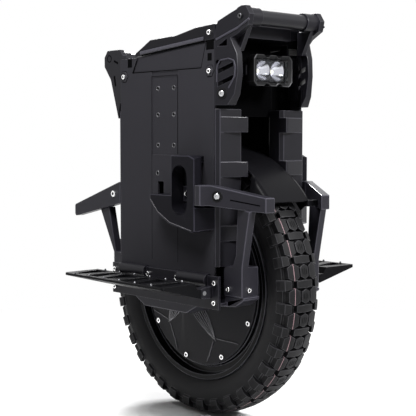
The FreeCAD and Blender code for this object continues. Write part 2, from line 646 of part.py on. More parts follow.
def rear_arms():
    """Straight arms that trail behind the tyre on raked legs."""
    inside = -d.rear_arm_outer + d.rear_arm_wall
    arm = Piece("rear_arm_right").pad("XZ", -d.rear_arm_outer, inside, Outline(
        (d.rear_arm_root, rear_arm_floor(d.rear_arm_root)),
        (d.rear_arm_root, rear_arm_floor(d.rear_arm_root) + d.rear_arm_root_height),
        (d.rear_arm_tip, rear_arm_floor(d.rear_arm_tip) + d.rear_arm_tip_height),
        (d.rear_arm_tip, rear_arm_floor(d.rear_arm_tip))))
    arm.round(d.arm_round, along("Y", ("X", d.rear_arm_tip, d.rear_arm_tip)))
    both_sides("rear_arm", arm.body)

    foot = above(d.leg_foot_height)
    inside = -d.leg_outer + d.leg_wall
    top_front = d.rear_leg_top_rear + d.rear_leg_width
    leg = Piece("rear_leg_right").pad("XZ", -d.leg_outer, inside, Outline(
        (d.rear_foot_rear, axle_z), (d.rear_foot_front, axle_z), (d.rear_foot_front, foot),
        (d.rear_foot_front - d.rear_leg_knee, foot), (top_front, rear_arm_floor(top_front)),
        (d.rear_leg_top_rear, rear_arm_floor(d.rear_leg_top_rear)), (d.rear_foot_rear, foot)))
    leg.pad("XZ", inside, -d.leg_inner, rectangle(d.rear_foot_rear, axle_z, d.rear_foot_front, foot))
    leg.round(d.leg_round, along("Y", ("X", d.rear_foot_front, d.rear_foot_front), ("Z", foot, foot)))
    both_sides("rear_leg", leg.body)


def fender():
    """The arched guard over the tyre, with a stay to each of the four arms."""
    guard = Piece("fender").spin(rectangle(
        -d.fender_half_width, fender_inner, d.fender_half_width, fender_inner + d.fender_wall),
        angle=d.fender_sweep_angle)
    half_sweep = math.radians(d.fender_sweep_angle.value / 2)
    low = above(fender_inner * math.cos(half_sweep) - d.stay_drop)
    high = low + d.stay_height
    near = d.fender_half_width - d.stay_grip
    front = fender_inner * math.sin(half_sweep) - d.stay_lead
    end = front + d.stay_length
    rear_reach = d.rear_arm_outer - d.rear_arm_wall
    guard.pad("XY", low, high, Outline((front, front_arm_inside(front)), (end, front_arm_inside(end)),
                                       (end, -near), (front, -near)))
    guard.pad("XY", low, high, Outline((front, -front_arm_inside(front)), (end, -front_arm_inside(end)),
                                       (end, near), (front, near)))
    guard.pad("XY", low, high, rectangle(-end, -rear_reach, -front, -near))
    guard.pad("XY", low, high, rectangle(-end, near, -front, rear_reach))
    keep("fender", guard.body)


def pedal_hinges():
    """The bolted hinge plate outside each side skirt, with rounded stops, lugs and pin."""
    reach = d.hinge_half_length
    floor = axle_z - d.hinge_floor_drop
    roof = above(d.hinge_top_rise)
    lug = d.ledge_end + d.lug_wall
    back = -d.hinge_back
    stop = Ring(back - d.hinge_wall / 2, above(d.ledge_rise), d.ledge_radius)
    ear = rectangle(pivot_y, pivot_z - d.lug_radius, hinge_face, pivot_z + d.lug_radius)
    plate = Piece("hinge_bracket_right").pad("XZ", hinge_face, back, rectangle(-reach, floor, reach, roof))
    for side in (1, -1):
        low, high = sorted((d.ledge_start * side, d.ledge_end * side), key=number)
        plate.pad("YZ", low, high, stop)
        low, high = sorted((d.ledge_end * side, lug * side), key=number)
        plate.pad("YZ", low, high, ear)
        plate.pad("YZ", low, high, Ring(pivot_y, pivot_z, d.lug_radius))
    plate.cut("YZ", -lug, lug, Ring(pivot_y, pivot_z, d.pin_radius))
    plate.cut("XZ", back, back + d.overrun, rectangle(-reach, floor, reach, roof + d.ledge_radius))
    both_sides("hinge_bracket", plate.body)
    pin = rod("pedal_pin", d.pin_radius, lug * 2, (-lug, pivot_y, pivot_z), "X")
    keep("pedal_pins", joined("pedal_pins", with_twins([pin])))


def pedals():
    """Folding foot plates: a hinge barrel, an open lattice and grip pins."""
    barrel = d.ledge_end - d.lug_gap
    top = pivot_z + d.pedal_top
    start = -d.pedal_plate_start
    step = -d.pedal_step
    low_top = pivot_z + d.pedal_low_top
    floor = pivot_z - d.pedal_inner_drop
    outer = -d.pedal_outer
    pedal = Piece("pedal_right").pad("YZ", d.pedal_rear, d.pedal_front, Outline(
        (start, floor), (outer, top - d.pedal_outer_wall), (outer, top), (step - d.pedal_ramp, top),
        (step, low_top), (start, low_top)))
    pedal.pad("YZ", -barrel, barrel, Ring(pivot_y, pivot_z, d.barrel_radius))
    pedal.pad("YZ", -barrel, barrel, rectangle(start, floor, pivot_y, pivot_z + d.pedal_inner_drop))
    pedal.cut("YZ", -barrel, barrel, Ring(pivot_y, pivot_z, d.pin_radius + d.pin_fit))
    below = floor - d.overrun
    over = top + d.overrun
    corner = d.pedal_corner
    nick = d.pedal_front_corner
    pedal.cut("XY", below, over, Outline(
        (d.pedal_rear, outer), (d.pedal_rear + corner, outer), (d.pedal_rear, outer + corner)))
    pedal.cut("XY", below, over, Outline(
        (d.pedal_front, outer), (d.pedal_front, outer + nick), (d.pedal_front - nick, outer)))
    pedal.cut("XY", below, over, Outline(
        (d.pedal_front, start), (d.pedal_front, outer + corner), (d.pedal_inner_front, start)))
    rear = d.pedal_rear + d.pedal_rail
    front = d.pedal_inner_front - d.pedal_rail / 2
    inner_rail = step - d.pedal_ramp - d.pedal_rail
    outer_rail = outer + d.pedal_rail
    bay = (front - rear) / PEDAL_BAYS
    tip_share = 0.34
    grips = []
    windows = []
    for place in range(PEDAL_BAYS):
        near = rear + bay * place
        far = near + bay
        base, tip = (outer_rail, inner_rail) if place % 2 else (inner_rail, outer_rail)
        windows.append(Outline((near + d.pedal_rib / 2, base), (far - d.pedal_rib / 2, base),
                               (far - bay * tip_share, tip), (near + bay * tip_share, tip)))
        for rail in (outer_rail - d.pedal_rail / 2, inner_rail + d.pedal_rail / 2):
            grips.append(rod("grip", d.grip_radius, d.grip_height, (near + bay / 2, rail, top), "Z"))
    pedal.cut("XY", below, over, *windows)
    both_sides("pedal", pedal.body)
    both_sides("grip_pins", joined("grip_pins_right", grips))


def boxes():
    """Battery trays on both sides of the wheel, with their packs and the shock absorbers."""
    floor = above(d.box_floor_rise)
    roof = above(d.box_top_rise)
    wall = d.box_wall
    shock_y = -(d.hanger_inner + d.hanger_outer) / 2
    tray = Piece("side_box_right").pad("XZ", box_outer, -d.box_inner, rectangle(
        -box_end, floor, box_end, roof))
    tray.cut("XZ", box_outer, -d.box_inner - wall, rectangle(
        -box_end + wall, floor + wall, box_end - wall, roof - wall))
    tray.cut("XY", floor, floor + wall, Ring(ZERO, shock_y, d.shock_hole_radius))
    both_sides("side_box", tray.body)
    gap = d.pack_gap
    packs = []
    far = box_end - wall - gap
    for low, high in ((-far, -d.shock_channel_half), (d.shock_channel_half, far)):
        packs.append(block("battery_pack", (low, box_outer + gap, floor + wall),
                           (high, -d.box_inner - wall - gap, roof - wall - gap)))
    keep("battery_packs", joined("battery_packs", with_twins(packs)))
    top = roof - wall
    bottom = top - d.shock_can_length
    seat = above(d.hanger_boss_rise)
    stroke = d.shock_engagement + d.travel + d.arm_gap
    can = Piece("shock_can").pad("XY", bottom, top, Ring(ZERO, shock_y, d.shock_can_radius))
    can.cut("XY", bottom, bottom + stroke, Ring(ZERO, shock_y, d.shock_shaft_radius + d.shock_fit))
    keep("shock_cans", joined("shock_cans", with_twins([can.body])))
    shaft = rod("shock_shaft", d.shock_shaft_radius, bottom + d.shock_engagement - seat,
                (ZERO, shock_y, seat), "Z")
    keep("shock_shafts", joined("shock_shafts", with_twins([shaft])))


def panels():
    """Flat side covers with a sunk strip of pad holes, and the lids above them."""
    skirt = above(d.skirt_rise)
    top = above(d.panel_top_rise)
    end = d.shell_half_length
    panel = Piece("side_panel_right").pad("XZ", panel_outer, panel_inner, Outline(
        (-end, skirt), (end, skirt), (end, above(d.front_ear_rise)),
        (d.front_ear_top_x, above(d.front_ear_rise)), (d.front_ear_x, top), (d.rear_ear_x, top),
        (d.rear_ear_top_x, above(d.rear_ear_rise)), (-end, above(d.rear_ear_rise))))
    strip = d.strip_half_width
    panel.cut("XZ", panel_outer, panel_outer + d.strip_depth, rectangle(
        -strip, above(d.housing_top_rise), strip, top))
    half = d.pad_hole_spacing / 2
    spots = [(side, above(rise)) for rise in (d.pad_row_top_rise, d.pad_row_middle_rise, d.pad_row_low_rise)
             for side in (-half, half)] + [(-half, above(d.pad_row_floor_rise))]
    panel.cut("XZ", panel_outer, panel_inner, *[Ring(x, z, d.pad_hole_radius) for x, z in spots])
    sunk = panel_outer + d.strip_depth
    panel.cut("XZ", panel_outer, sunk + d.pad_sink_depth, *[
        Ring(x, z, d.pad_sink_radius) for x, z in spots])
    panel.cut("XZ", panel_outer, panel_inner, rectangle(
        d.service_slot_rear, above(d.service_slot_rise), d.service_slot_rear + d.service_slot_width,
        above(d.service_slot_rise) + d.service_slot_height))
    both_sides("side_panel", panel.body)
    gap = d.lid_gap
    lid = Piece("side_lid_right").pad("XZ", panel_outer + d.lid_inset, panel_inner, Outline(
        (d.rear_ear_x + gap, top + gap), (d.front_ear_x - gap, top + gap),
        (d.front_ear_top_x - gap, deck_line(d.front_ear_top_x) - gap),
        (d.rear_ear_top_x + gap, deck_line(d.rear_ear_top_x) - gap)))
    both_sides("side_lid", lid.body)


def bumpers():
    """Corner columns at both ends of the shell, with wedge ribs on their faces."""
    floor = above(d.bumper_floor_rise)
    top = above(d.bumper_top_rise)
    corner = d.bumper_corner
    inside = -d.slot_half_width
    skin = d.shell_half_length + d.arm_gap / 2
    for name, side in (("front_bumper", 1), ("rear_bumper", -1)):
        plan = [(box_end, box_outer), (skin, box_outer), (skin, panel_outer),
                (bumper_face - corner, panel_outer), (bumper_face, panel_outer + corner),
                (bumper_face, inside - corner),
                (bumper_face - corner, inside), (box_end, inside)]
        rib = [(bumper_face - corner, panel_outer + corner), (bumper_face, panel_outer + corner),
               (bumper_face + d.bumper_rib_reach, inside - corner),
               (bumper_face + d.bumper_rib_reach, inside),
               (bumper_face - corner, inside)]
        body = Piece(name + "_right").pad("XY", floor, top, Outline(*[(x * side, y) for x, y in plan]))
        for rise in (d.rib_low_rise, d.rib_middle_rise, d.rib_high_rise):
            body.pad("XY", above(rise), above(rise + d.bumper_rib_height), Outline(
                *[(x * side, y) for x, y in rib]))
        both_sides(name, body.body)


def housings():
    """Outboard housings in which the front arms slide, each with an oval window."""
    outer = panel_outer - d.housing_reach
    edge = [(d.housing_lip_x, above(d.housing_lip_rise)), (d.housing_knee_x, above(d.housing_knee_rise)),
            (d.housing_chin_x, above(d.housing_chin_rise)),
            (d.housing_floor_x, above(d.housing_floor_rise)),
            (d.housing_front, above(d.housing_front_rise)), (d.housing_front, above(d.notch_rise)),
            (d.notch_x, above(d.notch_rise)), (d.notch_x, above(d.housing_top_rise - d.housing_draft)),
            (d.notch_x - d.housing_nose, above(d.housing_top_rise)),
            (d.housing_top_rear, above(d.housing_top_rise)),
            (d.housing_top_rear, above(d.housing_lip_rise + d.housing_lip_wall)),
            (d.housing_lip_x, above(d.housing_lip_rise + d.housing_lip_wall))]
    body = Piece("slide_housing_right").pad("XZ", outer, panel_outer, Outline(*edge))
    body.cut("XY", above(d.housing_floor_rise - d.overrun), above(d.notch_rise), Outline(
        (d.housing_front, panel_outer), (d.housing_front, outer), (d.notch_x, outer)))
    top = above(d.housing_top_rise + d.overrun)
    body.cut("XY", above(d.notch_rise), top, Outline(
        (d.notch_x, outer), (d.notch_x, panel_outer), (d.notch_x - d.notch_slope, panel_outer)))
    body.cut("XY", above(d.housing_lip_rise + d.housing_lip_wall), top, Outline(
        (d.housing_top_rear, panel_outer - d.ramp_foot), (d.housing_top_rear, outer), (d.ramp_end, outer)))
    inside = panel_outer - d.housing_cavity
    tail_floor = above(d.arm_root_floor_rise + d.arm_tail_inset - d.cavity_margin)
    tail_height = d.arm_root_height - d.arm_tail_inset * 2
    tail_top = tail_floor + tail_height + d.travel + d.cavity_margin * 2
    body.cut("XZ", inside, panel_outer, rectangle(
        d.cavity_rear, tail_floor, d.notch_x + d.arm_gap, tail_top))
    middle = (d.window_rear + d.window_front) / 2
    radius = (d.window_front - d.window_rear) / 2
    low = above(d.window_floor_rise) + radius
    high = above(d.housing_top_rise - d.window_top_wall) - radius
    body.cut("XZ", outer, inside, rectangle(d.window_rear, low, d.window_front, high))
    body.cut("XZ", outer, inside, Ring(middle, low, radius))
    body.cut("XZ", outer, inside, Ring(middle, high, radius))
    both_sides("slide_housing", body.body)


def top_side():
    """Electronics case over the wheel, the sloping deck with the switch chin, and the switch."""
    half = d.box_inner - d.case_gap
    case = Piece("controller_case").pad("XZ", -half, half, Outline(
        (-box_end, roof_z), (box_end, roof_z), (box_end, deck_line(box_end)),
        (d.deck_rear, deck_line(d.deck_rear)), (-box_end, deck_line(d.deck_rear))))
    keep("controller_case", case.body)
    wide = d.shell_half_width
    front = d.shell_half_length
    deck = Piece("top_deck").pad("XZ", -wide, wide, Outline(
        (d.deck_rear, deck_line(d.deck_rear)), (front, deck_line(front)), (front, above(d.deck_nose_rise)),
        (d.deck_nose_x, above(d.deck_nose_start_rise)), (d.deck_waist_x, above(d.deck_waist_rise)),
        (d.deck_hump_x, above(d.deck_hump_rise)), (d.deck_tail_top_x, above(d.deck_tail_top_rise)),
        (d.deck_rear, above(d.deck_tail_rise))))
    chin = front - d.chin_depth
    deck.pad("XZ", d.chin_inner, d.chin_outer, Outline(
        (chin, above(d.chin_low_rise)), (front, above(d.chin_low_rise)), (front, deck_line(front)),
        (chin, deck_line(chin))))
    deck.pad("XZ", -d.hood_half_width, d.hood_half_width, Outline(
        (front, deck_line(front)), (d.hood_x - d.hood_wall, above(d.hood_low_rise)),
        (d.hood_x, above(d.hood_low_rise)), (d.hood_x, above(d.deck_nose_rise)),
        (d.hood_x - d.hood_wall, above(d.deck_nose_rise + d.hood_crown)), (front, above(d.deck_nose_rise))))
    half_length = d.button_length / 2
    low = above(d.button_rise)
    gap = d.button_gap
    deep = front - d.button_wall - d.button_travel - gap
    deck.cut("YZ", deep, front, rectangle(d.button_middle - half_length - gap, low - gap,
                                          d.button_middle + half_length + gap, low + d.button_height + gap))
    keep("top_deck", deck.body)
    keep("power_button", block("power_button", (front - d.button_wall, d.button_middle - half_length, low),
                               (front + d.button_stand, d.button_middle + half_length,
                                low + d.button_height)))


def front_handle():
    """Cast brackets in front of the shell, with a round carry bar between them."""
    start = shell_front + d.bracket_gap
    bar = (d.bar_x, above(d.bar_rise))
    low = above(d.bracket_tip_rise)
    high = above(d.bracket_top_rise)
    face = -d.bracket_face_y
    inner = -d.bracket_inner_y
    wide = d.overrun
    body = Piece("front_bracket_right").pad("XY", low, high, Outline(
        (start, panel_outer), (d.bracket_shoulder_x, -d.bracket_shoulder_y), (d.bracket_face_x, face),
        (d.bracket_reach_x, face), (d.bracket_reach_x, inner), (d.bracket_heel_x, inner),
        (start, panel_outer + d.bracket_wall)))
    edge = Outline(
        (start, low), (d.bracket_heel_x, low), (d.bracket_chin_x, above(d.bracket_chin_rise)),
        (d.bracket_belly_x, above(d.bracket_belly_rise)), (d.bracket_brow_x, above(d.bracket_brow_rise)),
        (d.bracket_notch_x, above(d.bracket_notch_rise)), (d.bracket_jaw_x, above(d.bracket_jaw_rise)),
        (d.bracket_cap_x, above(d.bracket_cap_rise)), (d.bracket_crown_x, high), (d.bar_x, high),
        (d.bracket_back_x, above(d.bracket_back_rise)), (start, above(d.bracket_heel_rise)))
    body.cut("XZ", panel_outer - wide, inner + wide, rectangle(
        start - wide, low - wide, d.bracket_reach_x + wide, high + wide), edge)
    gusset_low = above(d.gusset_low_rise)
    gusset_top = above(d.gusset_top_rise)
    body.pad("XZ", inner, -d.gusset_inner, Outline(
        (d.gusset_rear, gusset_low), (d.gusset_foot, gusset_low), (d.gusset_front, gusset_top),
        (d.gusset_rear, gusset_top)))
    body.pad("XZ", face, -d.sleeve_inner, Ring(*bar, d.sleeve_radius))
    body.cut("XZ", -d.bar_half_length, -d.sleeve_inner, Ring(*bar, d.bar_radius))
    body.pad("XZ", box_outer, box_outer + d.tongue_wall, rectangle(
        box_end, above(d.tongue_low_rise), start, above(d.tongue_top_rise)))
    openings = []
    for place in range(2):
        foot = above(d.slash_rise) + d.slash_step * place
        head = foot + d.slash_lift
        end = d.slash_x + d.slash_length
        openings.append(Outline((d.slash_x, foot), (end, head), (end, head + d.slash_width),
                                (d.slash_x, foot + d.slash_width)))
    sill = above(d.bracket_window_rise)
    end = d.bracket_window_x + d.bracket_window_length
    openings.append(Outline((d.bracket_window_x, sill), (end, sill), (end, sill + d.bracket_window_height)))
    openings.append(Ring(d.bracket_hole_x, above(d.bracket_hole_rise), d.bracket_hole_radius))
    body.cut("XZ", panel_outer, inner, *openings)
    both_sides("front_bracket", body.body)
    keep("front_handlebar", rod("front_handlebar", d.bar_radius, d.bar_half_length * 2,
                                (bar[0], -d.bar_half_length, bar[1]), "Y"))


def rear_handle():
    """Cast brackets behind the shell, with a second carry bar."""
    start = -(shell_front + d.bracket_gap)
    outer = -d.rear_bracket_outer
    inner = outer + d.rear_bracket_wall
    bar = (d.rear_bar_x, above(d.rear_bar_rise))
    half_length = d.rear_bar_half_length
    heel = above(d.rear_bracket_heel_rise)
    top = above(d.rear_bracket_top_rise)
    body = Piece("rear_bracket_right").pad("XZ", outer, inner, Outline(
        (start, heel), (d.rear_bracket_start_x, heel),
        (d.rear_bracket_tip_x, above(d.rear_bracket_tip_rise)),
        (d.rear_bracket_knee_x, above(d.rear_bracket_knee_rise)),
        (d.rear_bracket_end_x, above(d.rear_bracket_end_rise)),
        (d.rear_bracket_end_x, above(d.rear_bracket_brow_rise)), (d.rear_bracket_top_x, top),
        (d.rear_bracket_start_x, top), (start, above(d.rear_bracket_root_rise))))
    body.pad("XZ", -half_length, -d.sleeve_inner, Ring(*bar, d.rear_sleeve_radius))
    body.cut("XZ", -half_length, -d.sleeve_inner, Ring(*bar, d.rear_bar_radius))
    body.pad("XZ", box_outer, box_outer + d.tongue_wall, rectangle(
        start, above(d.tongue_low_rise), -box_end, above(d.tongue_top_rise)))
    both_sides("rear_bracket", body.body)
    keep("rear_handlebar", rod("rear_handlebar", d.rear_bar_radius, half_length * 2,
                               (bar[0], -half_length, bar[1]), "Y"))


def lights():
    """A tilting headlight on a yoke, and a tail light."""
    middle = above(d.light_rise)
    half = d.light_half_width
    tall = d.light_half_height
    front = d.light_front
    rear = front - d.light_depth
    pivot = front - d.light_pivot_back
    bezel = d.light_bezel
    mouth = rectangle(-half + bezel, middle - tall + bezel, half - bezel, middle + tall - bezel)
    pod = Piece("headlight_pod").pad("YZ", rear, front, rectangle(
        -half, middle - tall, half, middle + tall))
    pod.bevel(d.light_bevel, along("Y", ("X", rear, rear)))
    pod.bevel(d.light_bevel, along("Z", ("X", rear, rear)))
    floor = front - d.lens_inset - d.lens_wall - d.reflector_depth
    pod.cut("YZ", floor, front, mouth)
    pod.cut("XZ", -half, -half + d.light_pin_grip, Ring(pivot, middle, d.light_pin_radius + d.pin_fit))
    pod.cut("XZ", half - d.light_pin_grip, half, Ring(pivot, middle, d.light_pin_radius + d.pin_fit))
    keep("headlight_pod", pod.body)
    lens_back = front - d.lens_inset - d.lens_wall
    lens = block("headlight_lens", (lens_back, -half + bezel, middle - tall + bezel),
                 (front - d.lens_inset, half - bezel, middle + tall - bezel))
    keep("headlight_lens", lens)
    cups = []
    for side in (-1, 1):
        shells = []
        for name, wall in (("reflector_outer", ZERO), ("reflector_inner", d.reflector_wall)):
            cone = DOC.addObject("Part::Cone", name)
            cone.Placement.Rotation = FreeCAD.Rotation("XYZ", 0, 90, 0)
            bind(cone, "Radius1", d.reflector_root - wall)
            bind(cone, "Radius2", d.reflector_radius - wall)
            bind(cone, "Height", d.reflector_depth - wall)
            for axis, size in zip("xyz", (floor + wall, d.reflector_offset * side, middle)):
                bind(cone, "Placement.Base." + axis, size)
            shells.append(cone)
        cup = DOC.addObject("Part::Cut", "reflector")
        cup.Base, cup.Tool = shells
        cups.append(cup)
    keep("headlight_reflectors", joined("headlight_reflectors", cups))
    arm = half + d.yoke_gap
    reach = d.yoke_height / 2
    yoke = Piece("headlight_yoke").pad("YZ", box_end, box_end + d.yoke_wall, rectangle(
        -arm - d.yoke_wall, middle - reach, arm + d.yoke_wall, middle + reach))
    for low, high, tip in ((-arm - d.yoke_wall, -arm, -half + d.light_pin_grip),
                           (arm, arm + d.yoke_wall, half - d.light_pin_grip)):
        yoke.pad("XZ", low, high, rectangle(box_end, middle - reach, pivot + reach, middle + reach))
        near, far = sorted((low if number(low) > 0 else high, tip), key=number)
        yoke.pad("XZ", near, far, Ring(pivot, middle, d.light_pin_radius))
    keep("headlight_yoke", yoke.body)
    tail = above(d.tail_rise)
    keep("tail_light", block(
        "tail_light", (-box_end - d.tail_wall, -d.tail_half_width, tail - d.tail_half_height),
        (-box_end, d.tail_half_width, tail + d.tail_half_height)))


def bolts():
    """Socket bolt heads, seated on the outer faces that they clamp."""
    small, big = d.small_bolt_radius, d.bolt_radius
    inner = panel_outer - d.arm_gap
    arm_middle = above(d.arm_root_floor_rise) + d.arm_root_height / 2
    row = above(d.hinge_top_rise) - big * 2
    foot = axle_z + big * 2
    rear_arm_bolt = above(d.rear_arm_root_floor_rise) + big * 3
    frame = [(big, d.window_bolt_x, inner - d.arm_tail_wall, arm_middle),
             (big, d.rear_arm_root - big * 3, -d.rear_arm_outer, rear_arm_bolt),
             (small, d.leg_foot_rear + big * 2, -d.leg_outer, foot),
             (small, d.leg_foot_front - big * 2, -d.leg_outer, foot),
             (small, d.rear_foot_front - big * 2, -d.leg_outer, foot)]
    corner_share = 1.5
    for side in (1, -1):
        end = (d.hinge_half_length - big * corner_share) * side
        frame.append((small, end, hinge_face, row))
        frame.append((small, (d.ledge_start - big) * side, hinge_face, row))
        frame.append((small, end, hinge_face, axle_z - big * 2))
    ear = d.shell_half_length - big * 2
    ear_rise = above(d.panel_top_rise) - big
    shell = [(small, ear, panel_outer, ear_rise), (small, -ear, panel_outer, ear_rise),
             (small, ear, -d.shell_half_width, above(d.deck_line_front_rise) + big * 2),
             (small, d.bar_x, -d.bracket_face_y, above(d.bar_rise))]
    for name, spots in (("frame_bolts", frame), ("shell_bolts", shell)):
        heads = [rod("bolt_head", radius, d.bolt_height, (x, y, z), "-Y") for radius, x, y, z in spots]
        keep(name, joined(name, with_twins(heads)))


def write_all():
    """Check every object and sub-part, then write one file for each sub-part."""
    DOC.recompute()
    for item in DOC.Objects:
        if "Invalid" in item.State or "Error" in item.State:
            raise RuntimeError(f"{item.Name} ({item.Label}) failed: {item.State}")
    os.makedirs("parts", exist_ok=True)
    for item in KEPT:
        if item.Shape.isNull() or not item.Shape.isValid():
            raise RuntimeError(f"{item.Label} has no valid shape")
        item.Shape.exportStep(f"parts/{item.Label}.step")


for build in (tyre, wheel, axle_group, hanger, front_arms, rear_arms, fender, pedal_hinges, pedals, boxes,
              panels, bumpers, housings, top_side, front_handle, rear_handle, lights, bolts):
    build()
write_all()
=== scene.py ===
"""Looks of a suspension electric unicycle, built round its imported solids."""

import json
import logging
import math
from collections.abc import Callable, Sequence
from dataclasses import dataclass, replace
from enum import Enum

import bmesh
import bpy
from mathutils import Euler, Matrix, Vector

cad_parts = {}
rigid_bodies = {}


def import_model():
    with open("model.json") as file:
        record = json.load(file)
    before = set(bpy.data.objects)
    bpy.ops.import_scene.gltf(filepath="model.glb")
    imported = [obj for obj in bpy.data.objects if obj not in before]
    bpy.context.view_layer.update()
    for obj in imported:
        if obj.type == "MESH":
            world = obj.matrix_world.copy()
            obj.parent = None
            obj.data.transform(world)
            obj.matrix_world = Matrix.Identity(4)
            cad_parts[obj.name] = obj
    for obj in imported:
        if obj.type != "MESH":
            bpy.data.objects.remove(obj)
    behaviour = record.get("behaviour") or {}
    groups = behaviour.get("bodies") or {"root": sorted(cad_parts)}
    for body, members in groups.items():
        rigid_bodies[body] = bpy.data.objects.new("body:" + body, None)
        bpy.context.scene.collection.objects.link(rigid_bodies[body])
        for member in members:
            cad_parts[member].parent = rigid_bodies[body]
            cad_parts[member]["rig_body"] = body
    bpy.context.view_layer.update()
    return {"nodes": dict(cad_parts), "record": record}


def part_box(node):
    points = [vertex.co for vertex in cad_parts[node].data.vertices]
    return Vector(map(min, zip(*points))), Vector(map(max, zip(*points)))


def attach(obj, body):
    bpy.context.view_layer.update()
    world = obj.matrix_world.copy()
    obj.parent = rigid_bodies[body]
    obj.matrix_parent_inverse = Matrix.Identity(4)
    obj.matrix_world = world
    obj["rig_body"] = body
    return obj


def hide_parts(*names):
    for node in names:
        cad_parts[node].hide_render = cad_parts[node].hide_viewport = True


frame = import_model()
LOG = logging.getLogger("unicycle")
MM = 0.001
TINY = 1e-9
FULL_TURN = 2 * math.pi
UNIT = Vector((1, 1, 1))
LEVEL = Euler((0, 0, 0))
AXLE_HEIGHT = next(joint["pos_m"][2] for joint in frame["record"]["behaviour"]["joints"]
                   if joint["name"] == "wheel_spin")

Colour = tuple[float, float, float]
Outline = Sequence[tuple[float, float]]
Spot = tuple[Vector, Euler, Vector]
Values = dict[str | int, float | str | tuple[float, ...]]


class Side(Enum):
    """The rider's right, which faces the camera, and left."""

    RIGHT = -1
    LEFT = 1

    @property
    def word(self) -> str:
        """The side's name in lower case."""
        return self.name.lower()


def add_socket(tree: bpy.types.NodeTree, name: str, way: str, kind: str, value: float | None = None) -> str:
    """Give a tree one named input or output.

    Args:
        tree: The tree that gets the socket.
        name: The socket's name.
        way: INPUT or OUTPUT.
        kind: The socket's type, without its prefix.
        value: The default, where there is one.
    Returns:
        The socket's identifier.
    """
    socket = tree.interface.new_socket(name, in_out=way, socket_type="NodeSocket" + kind)
    if value is not None:
        socket.default_value = value
    return socket.identifier


def set_inputs(node: bpy.types.Node, values: Values) -> None:
    """Give a node's inputs their values, by name or place."""
    for name, value in values.items():
        node.inputs[name].default_value = value


def add_node(tree: bpy.types.NodeTree, kind: str, values: Values | None = None,
             **settings: str | bool | bpy.types.NodeTree) -> bpy.types.Node:
    """Add a node to a tree and set it up.

    Args:
        tree: The tree that gets the node.
        kind: The node's type.
        values: Values of its inputs, by name or place.
        settings: Its other settings, such as an operation.
    Returns:
        The node.
    """
    made = tree.nodes.new(kind)
    for name, setting in settings.items():
        setattr(made, name, setting)
    set_inputs(made, values or {})
    return made


@dataclass
class GrainGroup:
    """Fine moulded grain and slow tonal drift, shared by every finish."""

    tree: bpy.types.NodeTree | None = None
    grain_size: float = 1400.0
    drift: float = 0.15
    roughness: float = 0.5
    fine_detail: float = 3.0
    slow_scale: float = 9.0
    slow_detail: float = 4.0

    def build(self) -> bpy.types.NodeTree:
        """Build the group once.

        Returns:
            The shared shader group.
        """
        if self.tree is not None:
            return self.tree
        tree = bpy.data.node_groups.new("Moulded grain", "ShaderNodeTree")
        add_socket(tree, "Colour", "INPUT", "Color")
        add_socket(tree, "Grain size", "INPUT", "Float", self.grain_size)
        add_socket(tree, "Drift", "INPUT", "Float", self.drift)
        add_socket(tree, "Roughness", "INPUT", "Float", self.roughness)
        add_socket(tree, "Colour", "OUTPUT", "Color")
        add_socket(tree, "Roughness", "OUTPUT", "Float")
        add_socket(tree, "Height", "OUTPUT", "Float")
        start = add_node(tree, "NodeGroupInput")
        end = add_node(tree, "NodeGroupOutput")
        place = add_node(tree, "ShaderNodeTexCoord")
        fine = add_node(tree, "ShaderNodeTexNoise", {"Detail": self.fine_detail})
        slow = add_node(tree, "ShaderNodeTexNoise", {"Scale": self.slow_scale, "Detail": self.slow_detail})
        swing = add_node(tree, "ShaderNodeMapRange", {"To Min": 1.0})
        lift = add_node(tree, "ShaderNodeMath", {0: 1.0}, operation="ADD")
        tint = add_node(tree, "ShaderNodeVectorMath", operation="SCALE")
        gloss = add_node(tree, "ShaderNodeMath", operation="MULTIPLY")
        link = tree.links.new
        link(place.outputs["Object"], fine.inputs["Vector"])
        link(place.outputs["Object"], slow.inputs["Vector"])
        link(start.outputs["Grain size"], fine.inputs["Scale"])
        link(slow.outputs["Fac"], swing.inputs["Value"])
        link(start.outputs["Drift"], lift.inputs[1])
        link(lift.outputs[0], swing.inputs["To Max"])
        link(start.outputs["Colour"], tint.inputs[0])
        link(swing.outputs["Result"], tint.inputs["Scale"])
        link(start.outputs["Roughness"], gloss.inputs[0])
        link(swing.outputs["Result"], gloss.inputs[1])
        link(tint.outputs["Vector"], end.inputs["Colour"])
        link(gloss.outputs[0], end.inputs["Roughness"])
        link(fine.outputs["Fac"], end.inputs["Height"])
        self.tree = tree
        return tree


GRAIN = GrainGroup()


